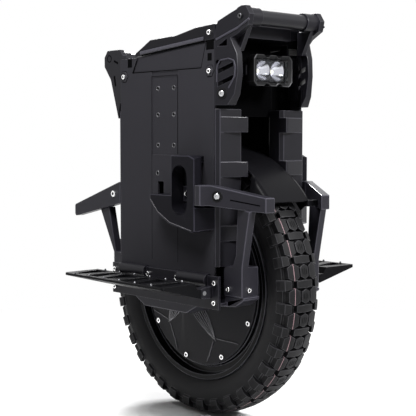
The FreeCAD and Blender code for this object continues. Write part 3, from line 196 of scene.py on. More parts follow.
@dataclass(frozen=True)
class Finish:
    """One surface finish, made into a procedural material on Object coordinates."""

    name: str
    colour: Colour
    roughness: float
    metallic: float = 0.0
    grain_scale: float = 1400.0
    grain_depth: float = 0.0
    drift: float = 0.15
    coat: float = 0.0
    coat_roughness: float = 0.1
    sheen_level: float = 0.15
    edge_gain: float = 2.8
    edge_roughness_share: float = 0.8
    edge_sheen_gain: float = 2.0

    def edge(self) -> "Finish":
        """Give the finish's painted highlight for rounded edges: its colour made paler, smoother and a little
        shinier.

        Returns:
            The edges' finish, with its painted highlight.
        """
        # Scaling the colour up paints a highlight on the edges.
        red, green, blue = (part * self.edge_gain for part in self.colour)
        return replace(self, name=self.name + " edge", colour=(red, green, blue),
                       roughness=self.roughness * self.edge_roughness_share,
                       sheen_level=min(1.0, self.sheen_level * self.edge_sheen_gain))

    def material(self) -> bpy.types.Material:
        """Give the finish's material, built on first use.

        Returns:
            The material.
        """
        found = bpy.data.materials.get(self.name)
        if found is not None:
            return found
        material = bpy.data.materials.new(self.name)
        material.use_nodes = True
        tree = material.node_tree
        shader = tree.nodes["Principled BSDF"]
        set_inputs(shader, {"Metallic": self.metallic, "Specular IOR Level": self.sheen_level,
                            "Coat Weight": self.coat, "Coat Roughness": self.coat_roughness})
        grain = add_node(tree, "ShaderNodeGroup",
                         {"Colour": (*self.colour, 1.0), "Grain size": self.grain_scale,
                          "Drift": self.drift, "Roughness": self.roughness}, node_tree=GRAIN.build())
        link = tree.links.new
        link(grain.outputs["Colour"], shader.inputs["Base Color"])
        link(grain.outputs["Roughness"], shader.inputs["Roughness"])
        if self.grain_depth:
            bump = add_node(tree, "ShaderNodeBump", {"Strength": 1.0, "Distance": self.grain_depth})
            link(grain.outputs["Height"], bump.inputs["Height"])
            link(bump.outputs["Normal"], shader.inputs["Normal"])
        self.extend(tree, shader, grain)
        return material

    def extend(self, tree: bpy.types.NodeTree, shader: bpy.types.Node, grain: bpy.types.Node) -> None:
        """Add what a special finish has beyond the plain one."""


@dataclass(frozen=True)
class TreadRubber(Finish):
    """Tyre rubber with the thin paint line that runs round the tread."""

    line_y: float = -24 * MM
    line_half_width: float = 0.5 * MM
    line_radius: float = 243 * MM
    line_colour: Colour = (0.34, 0.22, 0.24)

    def extend(self, tree: bpy.types.NodeTree, shader: bpy.types.Node, grain: bpy.types.Node) -> None:
        """Mix the paint line over the rubber.

        Args:
            tree: The material's tree.
            shader: Its Principled node.
            grain: Its grain group.
        """
        place = add_node(tree, "ShaderNodeTexCoord")
        split = add_node(tree, "ShaderNodeSeparateXYZ")
        near = add_node(tree, "ShaderNodeMath", {1: self.line_y, 2: self.line_half_width},
                        operation="COMPARE")
        level = add_node(tree, "ShaderNodeVectorMath", {1: (1.0, 0.0, 1.0), 2: (0.0, 0.0, -AXLE_HEIGHT)},
                         operation="MULTIPLY_ADD")
        reach = add_node(tree, "ShaderNodeVectorMath", operation="LENGTH")
        high = add_node(tree, "ShaderNodeMath", {1: self.line_radius}, operation="GREATER_THAN")
        both = add_node(tree, "ShaderNodeMath", operation="MULTIPLY")
        mix = add_node(tree, "ShaderNodeMix", {"B": (*self.line_colour, 1.0)}, data_type="RGBA")
        link = tree.links.new
        link(place.outputs["Object"], split.inputs[0])
        link(split.outputs["Y"], near.inputs[0])
        link(place.outputs["Object"], level.inputs[0])
        link(level.outputs["Vector"], reach.inputs[0])
        link(reach.outputs["Value"], high.inputs[0])
        link(near.outputs[0], both.inputs[0])
        link(high.outputs[0], both.inputs[1])
        link(both.outputs[0], mix.inputs["Factor"])
        link(grain.outputs["Colour"], mix.inputs["A"])
        link(mix.outputs["Result"], shader.inputs["Base Color"])


@dataclass(frozen=True)
class ClearLens(Finish):
    """Clear plastic over the reflectors."""

    ior: float = 1.08

    def extend(self, tree: bpy.types.NodeTree, shader: bpy.types.Node, grain: bpy.types.Node) -> None:
        """Let light through.

        Args:
            tree: The material's tree.
            shader: Its Principled node.
            grain: Its grain group, which is cut off; not used.
        """
        for name in ("Base Color", "Roughness"):
            for link in list(shader.inputs[name].links):
                tree.links.remove(link)
        set_inputs(shader, {"Base Color": (*self.colour, 1.0), "Roughness": self.roughness,
                            "Transmission Weight": 1.0, "IOR": self.ior})


@dataclass(frozen=True)
class GlowingChip(Finish):
    """A light chip with a faint painted glow, though it is no lamp."""

    strength: float = 0.6

    def extend(self, tree: bpy.types.NodeTree, shader: bpy.types.Node, grain: bpy.types.Node) -> None:
        """Add the painted glow."""
        set_inputs(shader, {"Emission Color": (*self.colour, 1.0), "Emission Strength": self.strength})


SMOOTH = 0.04 * MM
FINE = 0.05 * MM
CAST = 0.06 * MM
COARSE = 0.12 * MM

# Each finish's gain on rounded edges scales its colour there: a painted highlight, strongest on the housing,
# tread and rim.
PANEL_BLACK = Finish("panel charcoal", (0.031, 0.0302, 0.0355), 0.46, grain_scale=2600, grain_depth=FINE,
                     sheen_level=0.05, edge_gain=1.1)
CAST_BLACK = Finish("cast black coat", (0.0095, 0.0091, 0.012), 0.36, grain_scale=2000, grain_depth=CAST)
FRAME_BLACK = Finish("frame black coat", (0.018, 0.0173, 0.0225), 0.36, grain_scale=2000, grain_depth=FINE)
PEDAL_BLACK = Finish("pedal black coat", (0.004, 0.004, 0.0047), 0.36, grain_scale=2000, grain_depth=FINE,
                     edge_gain=2.0, sheen_level=0.05)
# The housing's black is darker than the panel's: painted shade on a part that is lit less.
HOUSING_PAINTED_SHADE = Finish("housing black", (0.0075, 0.0072, 0.0098), 0.36, grain_scale=2400, grain_depth=FINE,
                       edge_gain=4.0, sheen_level=0.05)
DECK_BLACK = Finish("deck black", (0.0075, 0.0072, 0.0092), 0.36, grain_scale=2000, grain_depth=CAST,
                    sheen_level=0.09)
DEEP_BLACK = Finish("deep black plastic", (0.004, 0.004, 0.0046), 0.5, grain_scale=2200, grain_depth=FINE)
# Nearly black and without sheen: painted shade on the inner parts.
INNER_PARTS_PAINTED_SHADE = Finish("inner case black", (0.0012, 0.0012, 0.0014), 0.7, drift=0.05, sheen_level=0.01)
GUARD_BLACK = Finish("fender black", (0.0045, 0.0044, 0.0054), 0.32, grain_scale=2400, grain_depth=SMOOTH,
                     edge_gain=2.5, sheen_level=0.06)
RUBBER = TreadRubber("tread rubber", (0.0052, 0.0051, 0.0058), 0.5, grain_scale=900, grain_depth=COARSE,
                     drift=0.3, edge_gain=5.0)
SIPE = Finish("sipe shadow", (0.002, 0.002, 0.002), 0.9, sheen_level=0.0)
RIM_GLOSS = Finish("rim gloss black", (0.004, 0.004, 0.0046), 0.24, drift=0.05, sheen_level=0.07,
                   edge_gain=14)
GRIP = Finish("grip rubber", (0.0155, 0.0151, 0.0178), 0.3, grain_scale=1600, grain_depth=FINE)
STEEL = Finish("turned steel", (0.3, 0.3, 0.31), 0.35, metallic=1.0, drift=0.1)
BRIGHT = Finish("bright bolt steel", (0.5, 0.5, 0.51), 0.25, metallic=1.0, drift=0.05)
EYELET = Finish("eyelet metal", (0.035, 0.035, 0.037), 0.4, metallic=1.0, drift=0.1)
PIN_STEEL = Finish("grip pin steel", (0.06, 0.06, 0.064), 0.4, metallic=1.0, drift=0.1)
MIRROR = Finish("mirror reflector", (0.62, 0.62, 0.65), 0.16, metallic=1.0, drift=0.02)
LENS = ClearLens("clear lens", (0.97, 0.98, 1.0), 0.02)
# The chips glow faintly: painted light, not a lamp.
PAINTED_GLOW_CHIP = GlowingChip("light chip", (0.95, 0.93, 0.8), 0.4)
TAIL = Finish("tail red", (0.16, 0.004, 0.004), 0.18, coat=0.5, drift=0.05)
BUTTON = Finish("switch grey", (0.17, 0.17, 0.17), 0.45, grain_scale=2000, grain_depth=SMOOTH)
TRIM = Finish("edge trim silver", (0.06, 0.06, 0.063), 0.3, metallic=1.0, drift=0.05)
COVER_BLACK = Finish("motor cover black", (0.0075, 0.0073, 0.0092), 0.3, grain_scale=2000, grain_depth=FINE,
                     sheen_level=0.09)
# Paler than the cover: a painted highlight on the motor cover's ribs.
COVER_RIB_HIGHLIGHT = Finish("cover rib black", (0.02, 0.0195, 0.023), 0.25, drift=0.1, sheen_level=0.3)
SURROUND = Finish("lamp surround", (0.03, 0.03, 0.033), 0.22, drift=0.05)
# A pale line: a painted highlight along an edge.
EDGE_PAINTED_HIGHLIGHT = Finish("worn edge", (0.05, 0.049, 0.054), 0.35, drift=0.3)
# Near black: dark seams, and painted shade in openings, slots, grooves, outlines and bolt sockets.
SEAM_AND_PAINTED_SHADE = Finish("dark gap", (0.0015, 0.0015, 0.0016), 0.9, drift=0.0, sheen_level=0.0)

FINISH_BY_NODE: dict[str, Finish] = {
    "tyre": RUBBER, "rim": RIM_GLOSS, "motor_cover": COVER_BLACK, "hub_bearings": STEEL,
    "valve_stem": DEEP_BLACK, "axle": STEEL, "axle_nuts": STEEL, "stator": STEEL, "hanger": FRAME_BLACK,
    "front_leg": FRAME_BLACK, "rear_leg": FRAME_BLACK, "front_arm": FRAME_BLACK, "rear_arm": FRAME_BLACK,
    "hinge_bracket": CAST_BLACK, "pedal_pins": STEEL, "shock_shafts": STEEL, "shock_cans": INNER_PARTS_PAINTED_SHADE,
    "fender": GUARD_BLACK, "side_box": INNER_PARTS_PAINTED_SHADE, "battery_packs": INNER_PARTS_PAINTED_SHADE, "side_panel": PANEL_BLACK,
    "side_lid": PANEL_BLACK, "front_bumper": CAST_BLACK, "rear_bumper": CAST_BLACK,
    "slide_housing": HOUSING_PAINTED_SHADE, "controller_case": INNER_PARTS_PAINTED_SHADE, "top_deck": DECK_BLACK,
    "front_bracket": CAST_BLACK, "front_handlebar": GRIP, "rear_bracket": CAST_BLACK, "rear_handlebar": GRIP,
    "headlight_yoke": CAST_BLACK, "tail_light": TAIL, "headlight_lens": LENS, "power_button": BUTTON,
    "pedal": PEDAL_BLACK,
}


def plain_name(node: str) -> str:
    """The node's name without its side."""
    return node.removesuffix("_right").removesuffix("_left")


def node_body(node: str) -> str:
    """The CAD body that a node belongs to."""
    return frame["nodes"][node]["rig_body"]


def node_slot(node: str) -> str:
    """The record's material slot of a node."""
    return next(part["material_slot"] for part in frame["record"]["subparts"] if part["node"] == node)


def panel_face(side: Side) -> float:
    """The outer face of a side's panel, as a distance across the wheel."""
    low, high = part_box("side_panel_" + side.word)
    return high.y if side is Side.LEFT else low.y


def linked_object(name: str, data: bpy.types.ID) -> bpy.types.Object:
    """Make an object and put it into the scene.

    Args:
        name: The object's name.
        data: Its mesh, light or camera.
    Returns:
        The object.
    """
    made = bpy.data.objects.new(name, data)
    bpy.context.scene.collection.objects.link(made)
    return made


def piece(name: str, mesh: bpy.types.Mesh, finish: Finish, body: str, slot: str,
          *nodes: str) -> bpy.types.Object:
    """Put a finished mesh into the scene as a piece of the object.

    Args:
        name: The piece's name.
        mesh: Its mesh, whose second material, if used, marks rounded edges, which get a paler painted
            highlight.
        finish: Its finish.
        body: The CAD body that it rides on.
        slot: The record's material slot; not used.
        nodes: CAD nodes that it stands for.
    Returns:
        The piece.
    """
    made = linked_object(name, mesh)
    edges = [face.index for face in mesh.polygons if face.material_index]
    mesh.materials.clear()
    mesh.materials.append(finish.material())
    # Rounded edges get the finish's paler copy: a painted highlight.
    if edges:
        mesh.materials.append(finish.edge().material())
        for place in edges:
            mesh.polygons[place].material_index = 1
    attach(made, body)
    if nodes:
        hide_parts(*nodes)
    LOG.info("built %s on %s", name, body)
    return made


def mesh_from(shape: bmesh.types.BMesh, name: str, smooth_angle: float = math.radians(18)) -> bpy.types.Mesh:
    """Turn a bmesh into a smooth-shaded mesh whose sharp edges stay sharp.

    Args:
        shape: The shape, which is freed.
        name: The mesh's name.
        smooth_angle: Edges steeper than this stay sharp.
    Returns:
        The mesh.
    """
    mesh = bpy.data.meshes.new(name)
    shape.to_mesh(mesh)
    shape.free()
    mesh.shade_smooth()
    mesh.set_sharp_from_angle(angle=smooth_angle)
    return mesh


def plain_mesh(carrier: bpy.types.Object) -> bpy.types.Mesh:
    """Turn an object with modifiers into a plain mesh, and remove the object.

    Args:
        carrier: The object.
    Returns:
        The mesh that its modifiers make.
    """
    bpy.context.view_layer.update()
    ready = carrier.evaluated_get(bpy.context.evaluated_depsgraph_get())
    mesh = bpy.data.meshes.new_from_object(ready)
    carrier.modifiers.clear()
    bpy.data.objects.remove(carrier)
    return mesh


def weigh_normals(mesh: bpy.types.Mesh) -> bpy.types.Mesh:
    """Let large faces lead the shading, so that flat ones stay flat beside rounded edges.

    Args:
        mesh: The mesh to shade, which is removed.
    Returns:
        A copy with weighted normals.
    """
    carrier = linked_object(mesh.name + "_carrier", mesh)
    carrier.modifiers.new("Weighted normals", "WEIGHTED_NORMAL").keep_sharp = True
    weighted = plain_mesh(carrier)
    bpy.data.meshes.remove(mesh)
    return weighted


def merged_copy(node: str, merge_distance: float = 0.004 * MM,
                flat_angle: float = math.radians(0.6)) -> bmesh.types.BMesh:
    """Copy a CAD node's mesh with its loose triangles joined.

    Args:
        node: The CAD node.
        merge_distance: Corners nearer than this become one.
        flat_angle: Faces that meet flatter than this become one.
    Returns:
        A bmesh with shared corners and whole flat faces.
    """
    shape = bmesh.new()
    shape.from_mesh(frame["nodes"][node].data)
    bmesh.ops.remove_doubles(shape, verts=shape.verts, dist=merge_distance)
    bmesh.ops.dissolve_limit(shape, angle_limit=flat_angle, verts=shape.verts, edges=shape.edges)
    return shape


def soften(shape: bmesh.types.BMesh, width: float, least_angle: float = math.radians(28),
           room_share: float = 1.5, fullness: float = 0.6) -> None:
    """Round the sharp edges of a shape, and give them its second material, which paints a highlight on them.

    Edges that meet a very short one stay sharp, because the rounding has no room there.

    Args:
        shape: The shape to change.
        width: How far the rounding reaches from each edge.
        least_angle: Edges flatter than this are left.
        room_share: The shortest edge with room for the rounding, as a share of its width.
        fullness: The rounding's profile, where 0.5 is a true arc.
    """
    tight = {vert for edge in shape.edges if edge.calc_length() < room_share * width for vert in edge.verts}
    sharp = [edge for edge in shape.edges if len(edge.link_faces) == 2
             and edge.calc_face_angle(0.0) > least_angle and tight.isdisjoint(edge.verts)]
    bmesh.ops.bevel(shape, geom=sharp, offset=width, offset_type="OFFSET", segments=2, profile=fullness,
                    affect="EDGES", clamp_overlap=False, material=1)


def islands(node: str) -> list[tuple[Vector, Vector]]:
    """Find the separate solids of a node.

    Args:
        node: The CAD node.
    Returns:
        The lowest and highest corner of each solid.
    """
    shape = merged_copy(node)
    shape.verts.ensure_lookup_table()
    seen: set[int] = set()
    boxes = []
    for first in shape.verts:
        if first.index in seen:
            continue
        seen.add(first.index)
        waiting = [first]
        points = []
        while waiting:
            vert = waiting.pop()
            points.append(vert.co.copy())
            for edge in vert.link_edges:
                other = edge.other_vert(vert)
                if other.index not in seen:
                    seen.add(other.index)
                    waiting.append(other)
        low = Vector(min(point[axis] for point in points) for axis in range(3))
        high = Vector(max(point[axis] for point in points) for axis in range(3))
        boxes.append((low, high))
    shape.free()
    return boxes


def on_circle(radius: float, share: float) -> tuple[float, float]:
    """A point on a circle about the origin, at a share of a full turn."""
    return radius * math.cos(FULL_TURN * share), radius * math.sin(FULL_TURN * share)


def join_rings(shape: bmesh.types.BMesh, rings: list[list[bmesh.types.BMVert]]) -> None:
    """Close the walls between rings that follow one another.

    Args:
        shape: The shape that gets the faces.
        rings: Its corners, ring by ring, with as many in each.
    """
    for first, second in zip(rings, rings[1:]):
        for place in range(len(first)):
            after = (place + 1) % len(first)
            shape.faces.new((first[place], first[after], second[after], second[place]))


def capped_rings(shape: bmesh.types.BMesh, rings: list[list[bmesh.types.BMVert]]) -> bmesh.types.BMesh:
    """Close a shape that runs through rings, walls and both ends.

    Args:
        shape: The shape that gets the faces.
        rings: Its corners, ring by ring, with as many in each.
    Returns:
        The same shape, with its normals outward.
    """
    join_rings(shape, rings)
    shape.faces.new(rings[0])
    shape.faces.new(list(reversed(rings[-1])))
    bmesh.ops.recalc_face_normals(shape, faces=shape.faces)
    return shape


def lathe(profile: Outline, steps: int) -> bmesh.types.BMesh:
    """Turn a closed or open half profile about the Z axis.

    Args:
        profile: Points as (radius, height), from the first pole or rim to the last.
        steps: How many faces go round.
    Returns:
        The turned shape.
    """
    shape = bmesh.new()
    rings = []
    for radius, height in profile:
        count = steps if radius else 1
        rings.append([shape.verts.new((*on_circle(radius, place / steps), height)) for place in range(count)])
    for lower, upper in zip(rings, rings[1:]):
        for place in range(steps):
            after = (place + 1) % steps
            corners = [lower[place % len(lower)], lower[after % len(lower)],
                       upper[after % len(upper)], upper[place % len(upper)]]
            distinct = list(dict.fromkeys(corners))
            if len(distinct) > 2:
                shape.faces.new(distinct)
    bmesh.ops.recalc_face_normals(shape, faces=shape.faces)
    return shape


def prism(outline: Outline, low: float, high: float) -> bmesh.types.BMesh:
    """Raise a flat outline along Z.

    Args:
        outline: Corners in X and Y.
        low: The lower face.
        high: The upper face.
    Returns:
        The closed shape.
    """
    shape = bmesh.new()
    rings = [[shape.verts.new((x, y, level)) for x, y in outline] for level in (low, high)]
    return capped_rings(shape, rings)


def gathered(shapes: list[bmesh.types.BMesh]) -> bmesh.types.BMesh:
    """Put several shapes into one.

    Args:
        shapes: The shapes, which are freed.
    Returns:
        One bmesh with all of them.
    """
    whole = bmesh.new()
    for shape in shapes:
        mesh = bpy.data.meshes.new("part")
        shape.to_mesh(mesh)
        shape.free()
        whole.from_mesh(mesh)
        bpy.data.meshes.remove(mesh)
    return whole


def aim(facing: Vector) -> Euler:
    """The turn that points a template's Z axis along a direction."""
    return facing.to_track_quat("Z", "Y").to_euler()


def mirrored(spot: Vector, side: Side) -> Vector:
    """A point or direction given for the right side, moved to a side."""
    return Vector((spot.x, -spot.y * side.value, spot.z))


@dataclass
class CopyPlacer:
    """A geometry tree that sets copies of one small shape on points."""

    tree: bpy.types.NodeTree | None = None
    template_socket: str = ""
    finish_socket: str = ""

    def build(self) -> None:
        """Build the tree: points in, realised copies with their material out."""
        tree = bpy.data.node_groups.new("Place copies", "GeometryNodeTree")
        add_socket(tree, "Geometry", "INPUT", "Geometry")
        self.template_socket = add_socket(tree, "Template", "INPUT", "Object")
        self.finish_socket = add_socket(tree, "Finish", "INPUT", "Material")
        add_socket(tree, "Geometry", "OUTPUT", "Geometry")
        start = add_node(tree, "NodeGroupInput")
        end = add_node(tree, "NodeGroupOutput")
        shape = add_node(tree, "GeometryNodeObjectInfo")
        turn, size = (add_node(tree, "GeometryNodeInputNamedAttribute", {"Name": name},
                               data_type="FLOAT_VECTOR") for name in ("turn", "size"))
        spin = add_node(tree, "FunctionNodeEulerToRotation")
        copies = add_node(tree, "GeometryNodeInstanceOnPoints")
        solid = add_node(tree, "GeometryNodeRealizeInstances")
        paint = add_node(tree, "GeometryNodeSetMaterial")
        link = tree.links.new
        link(start.outputs["Geometry"], copies.inputs["Points"])
        link(start.outputs["Template"], shape.inputs["Object"])
        link(shape.outputs["Geometry"], copies.inputs["Instance"])
        link(turn.outputs["Attribute"], spin.inputs["Euler"])
        link(spin.outputs["Rotation"], copies.inputs["Rotation"])
        link(size.outputs["Attribute"], copies.inputs["Scale"])
        link(copies.outputs["Instances"], solid.inputs["Geometry"])
        link(solid.outputs["Geometry"], paint.inputs["Geometry"])
        link(start.outputs["Finish"], paint.inputs["Material"])
        link(paint.outputs["Geometry"], end.inputs["Geometry"])
        self.tree = tree

    def place(self, name: str, template: bmesh.types.BMesh, finish: Finish,
              spots: list[Spot]) -> bpy.types.Mesh:
        """Set copies of a template on spots and give the plain mesh.

        Args:
            name: The mesh's name.
            template: A small shape that stands along Z, which is freed.
            finish: The finish of the copies.
            spots: The foot, the turn and the scale of each copy.
        Returns:
            The realised mesh.
        """
        if self.tree is None:
            self.build()
        small = bpy.data.objects.new(name + "_template", mesh_from(template, name + "_template"))
        points = bpy.data.meshes.new(name + "_points")
        points.from_pydata([tuple(foot) for foot, _, _ in spots], [], [])
        turns = points.attributes.new("turn", "FLOAT_VECTOR", "POINT")
        sizes = points.attributes.new("size", "FLOAT_VECTOR", "POINT")
        for place, (_, turn, size) in enumerate(spots):
            turns.data[place].vector = turn
            sizes.data[place].vector = size
        carrier = linked_object(name + "_carrier", points)
        modifier = carrier.modifiers.new("Place copies", "NODES")
        modifier.node_group = self.tree
        modifier[self.template_socket] = small
        modifier[self.finish_socket] = finish.material()
        mesh = plain_mesh(carrier)
        mesh.name = name
        bpy.data.objects.remove(small)
        for attribute in ("turn", "size"):
            if attribute in mesh.attributes:
                mesh.attributes.remove(mesh.attributes[attribute])
        return mesh


PLACER = CopyPlacer()


def set_copies(name: str, template: bmesh.types.BMesh, finish: Finish, spots: list[Spot], body: str,
               slot: str, *nodes: str) -> None:
    """Set copies of a template on spots as one piece of the object.

    Args:
        name: The piece's name.
        template: A small shape that stands along Z, which is freed.
        finish: The finish of the copies.
        spots: The foot, the turn and the scale of each copy.
        body: The CAD body that the piece rides on.
        slot: The record's material slot.
        nodes: CAD nodes that the piece stands for.
    """
    piece(name, PLACER.place(name, template, finish, spots), finish, body, slot, *nodes)


@dataclass
class Solids:
    """The CAD nodes that are shown as they are, with their edges rounded and painted paler as a highlight."""

    edge_width: float = 1.1 * MM
    fine_width: float = 0.6 * MM
    broad_width: float = 1.5 * MM
    tread_width: float = 0.7 * MM
    tread_merge: float = 0.6 * MM
    cover_clearance: float = 0.4 * MM
    face_margin: float = 0.01 * MM
    skipped: tuple[str, ...] = ("frame_bolts", "shell_bolts", "cover_bolts", "grip_pins_right",
                                "grip_pins_left", "headlight_reflectors", "headlight_pod")
    fine: tuple[str, ...] = ("side_panel", "side_lid", "hinge_bracket", "pedal", "power_button",
                             "headlight_lens", "fender", "front_bracket", "rear_bracket")
    broad: tuple[str, ...] = ("slide_housing", "front_arm", "rear_arm", "front_leg", "rear_leg", "hanger",
                              "rim")

    def width(self, base: str) -> float:
        """Tell how far the rounding reaches on a kind of node.

        Args:
            base: The node's name without its side.
        Returns:
            The rounding's width.
        """
        if base == "tyre":
            return self.tread_width
        if base in self.fine:
            return self.fine_width
        return self.broad_width if base in self.broad else self.edge_width

    def draw_back(self, shape: bmesh.types.BMesh) -> None:
        """Clear a side box's inner face from the motor cover that passes it at full travel.

        Args:
            shape: The side box to change.
        """
        face = min(abs(vert.co.y) for vert in shape.verts)
        for vert in shape.verts:
            if abs(vert.co.y) < face + self.face_margin:
                vert.co.y += math.copysign(self.cover_clearance, vert.co.y)

    def build(self) -> None:
        """Make a softened piece for every node that no other class makes."""
        for node in sorted(frame["nodes"]):
            if node in self.skipped:
                continue
            base = plain_name(node)
            shape = merged_copy(node)
            if base == "side_box":
                self.draw_back(shape)
            if base == "tyre":
                bmesh.ops.remove_doubles(shape, verts=shape.verts, dist=self.tread_merge)
            soften(shape, self.width(base))
            mesh = weigh_normals(mesh_from(shape, node))
            piece(node + "_skin", mesh, FINISH_BY_NODE[base], node_body(node), node_slot(node), node)


@dataclass
class SocketBolts:
    """Cap screws with hexagon sockets, set where the CAD has plain heads.

    The bolts in the turned range sit low on the front legs and face ahead. Those above the bar height
    are dark.
    """

    steps: int = 24
    chamfer_share: float = 0.16
    socket_share: float = 0.56
    socket_depth_share: float = 0.7
    socket_mouth_gain: float = 1.16
    socket_sides: int = 6
    socket_margin: float = 1e-6
    turned_from: float = 174 * MM
    turned_to: float = 186 * MM
    turned_below: float = 275 * MM
    turned_y: float = 84 * MM
    leg_front: float = 191 * MM
    bar_height: float = 728 * MM

    def head(self) -> bmesh.types.BMesh:
        """Make a head of unit radius and unit height.

        Returns:
            The head, standing on Z = 0.
        """
        chamfer, floor, socket = self.chamfer_share, 1 - self.socket_depth_share, self.socket_share
        shape = lathe([(1, 0), (1, 1 - chamfer), (1 - chamfer, 1), (socket * self.socket_mouth_gain, 1),
                       (socket, 1 - chamfer / 2), (socket, floor), (0, floor)], self.steps)
        half_side = math.pi / self.socket_sides
        for vert in shape.verts:
            if 0 < vert.co.xy.length <= socket + self.socket_margin:
                turn = math.atan2(vert.co.y, vert.co.x) % (2 * half_side) - half_side
                vert.co.xy *= math.cos(half_side) / math.cos(turn)
        return shape

    def socket(self) -> bmesh.types.BMesh:
        """Make the painted shade in a socket: a dark core that fills its lower part.

        Returns:
            The core, for a head of unit radius and unit height.
        """
        sides = self.socket_sides
        corners = [on_circle(self.socket_share, place / sides) for place in range(sides)]
        return prism(corners, 1 - self.socket_depth_share, 1 - self.chamfer_share)

    def spot(self, low: Vector, high: Vector) -> Spot:
        """Find how a socket head stands in for a plain one.

        Args:
            low: The plain head's lowest corner.
            high: Its highest corner.
        Returns:
            The foot, the turn and the scale of the head.
        """
        middle = (low + high) / 2
        side = math.copysign(1, middle.y)
        foot = Vector((middle.x, low.y if side > 0 else high.y, middle.z))
        facing = Vector((0, side, 0))
        if self.turned_from < middle.x < self.turned_to and middle.z < self.turned_below:
            foot = Vector((self.leg_front, side * self.turned_y, middle.z))
            facing = Vector((1, 0, 0))
        radius = (high.x - low.x) / 2
        return foot, aim(facing), Vector((radius, radius, high.y - low.y))

    def build(self) -> None:
        """Replace each group of plain heads by socket heads."""
        for node in ("frame_bolts", "shell_bolts", "cover_bolts"):
            bright, dark = [], []
            for low, high in islands(node):
                group = dark if (low.z + high.z) / 2 > self.bar_height else bright
                group.append(self.spot(low, high))
            owner = node_body(node), node_slot(node)
            set_copies(node + "_heads", self.head(), BRIGHT, bright, *owner, node)
            # Dark cores in every socket: painted shade.
            set_copies(node + "_sockets", self.socket(), SEAM_AND_PAINTED_SHADE, bright + dark, *owner)
            if dark:
                set_copies("bar_bolts", self.head(), EYELET, dark, *owner)


@dataclass
class PadEyelets:
    """Metal eyelets in the pad holes of the side panels."""

    steps: int = 24
    outer: float = 4.9 * MM
    inner: float = 2.9 * MM
    depth: float = 1.2 * MM
    lip: float = 0.3 * MM
    strip_recess: float = 1.5 * MM
    single_height: float = 462 * MM

    def ring(self) -> bmesh.types.BMesh:
        """Make one countersunk ring.

        Returns:
            The ring, with its lip at Z = 0.
        """
        return lathe([(self.inner, -self.depth), (self.outer, -self.depth), (self.outer, 0),
                      (self.outer - self.lip, self.lip), (self.inner + self.lip, self.lip),
                      (self.inner, 0), (self.inner, -self.depth)], self.steps)

    def build(self) -> None:
        """Set the eyelets on both panels: three pairs in the strip and a single one below."""
        mounts = {mount["name"]: mount for mount in frame["record"]["mounts"]}
        for side in Side:
            corners = mounts["pad_bolts_" + side.word]
            middle = mounts["pad_middle_" + side.word]
            half_x = corners["dims"]["spacing_x_mm"] * MM / 2
            half_z = corners["dims"]["spacing_y_mm"] * MM / 2
            heights = [corners["pos_m"][2] + half_z, corners["pos_m"][2] - half_z, middle["pos_m"][2]]
            face = panel_face(side)
            strip = face - side.value * self.strip_recess
            feet = [Vector((x, strip, z)) for z in heights for x in (-half_x, half_x)]
            feet.append(Vector((-half_x, face, self.single_height)))
            turn = aim(Vector((0, side.value, 0)))
            set_copies("pad_eyelets_" + side.word, self.ring(), EYELET, [(foot, turn, UNIT) for foot in feet],
                       "shell", "bright_steel")


@dataclass
class GripPins:
    """Pointed grip pins on the pedals, drawn as a profile of unit radius and height."""

    steps: int = 10
    profile: tuple[tuple[float, float], ...] = ((1, 0), (1, 0.55), (0.72, 0.75), (0.3, 1), (0, 1))

    def build(self) -> None:
        """Replace the plain pins of both pedals."""
        for side in Side:
            node = "grip_pins_" + side.word
            spots = []
            for low, high in islands(node):
                middle = (low + high) / 2
                radius = (high.x - low.x) / 2
                spots.append((Vector((middle.x, middle.y, low.z)), LEVEL,
                              Vector((radius, radius, high.z - low.z))))
            set_copies(node + "_studs", lathe(self.profile, self.steps), PIN_STEEL, spots, node_body(node),
                       node_slot(node), node)


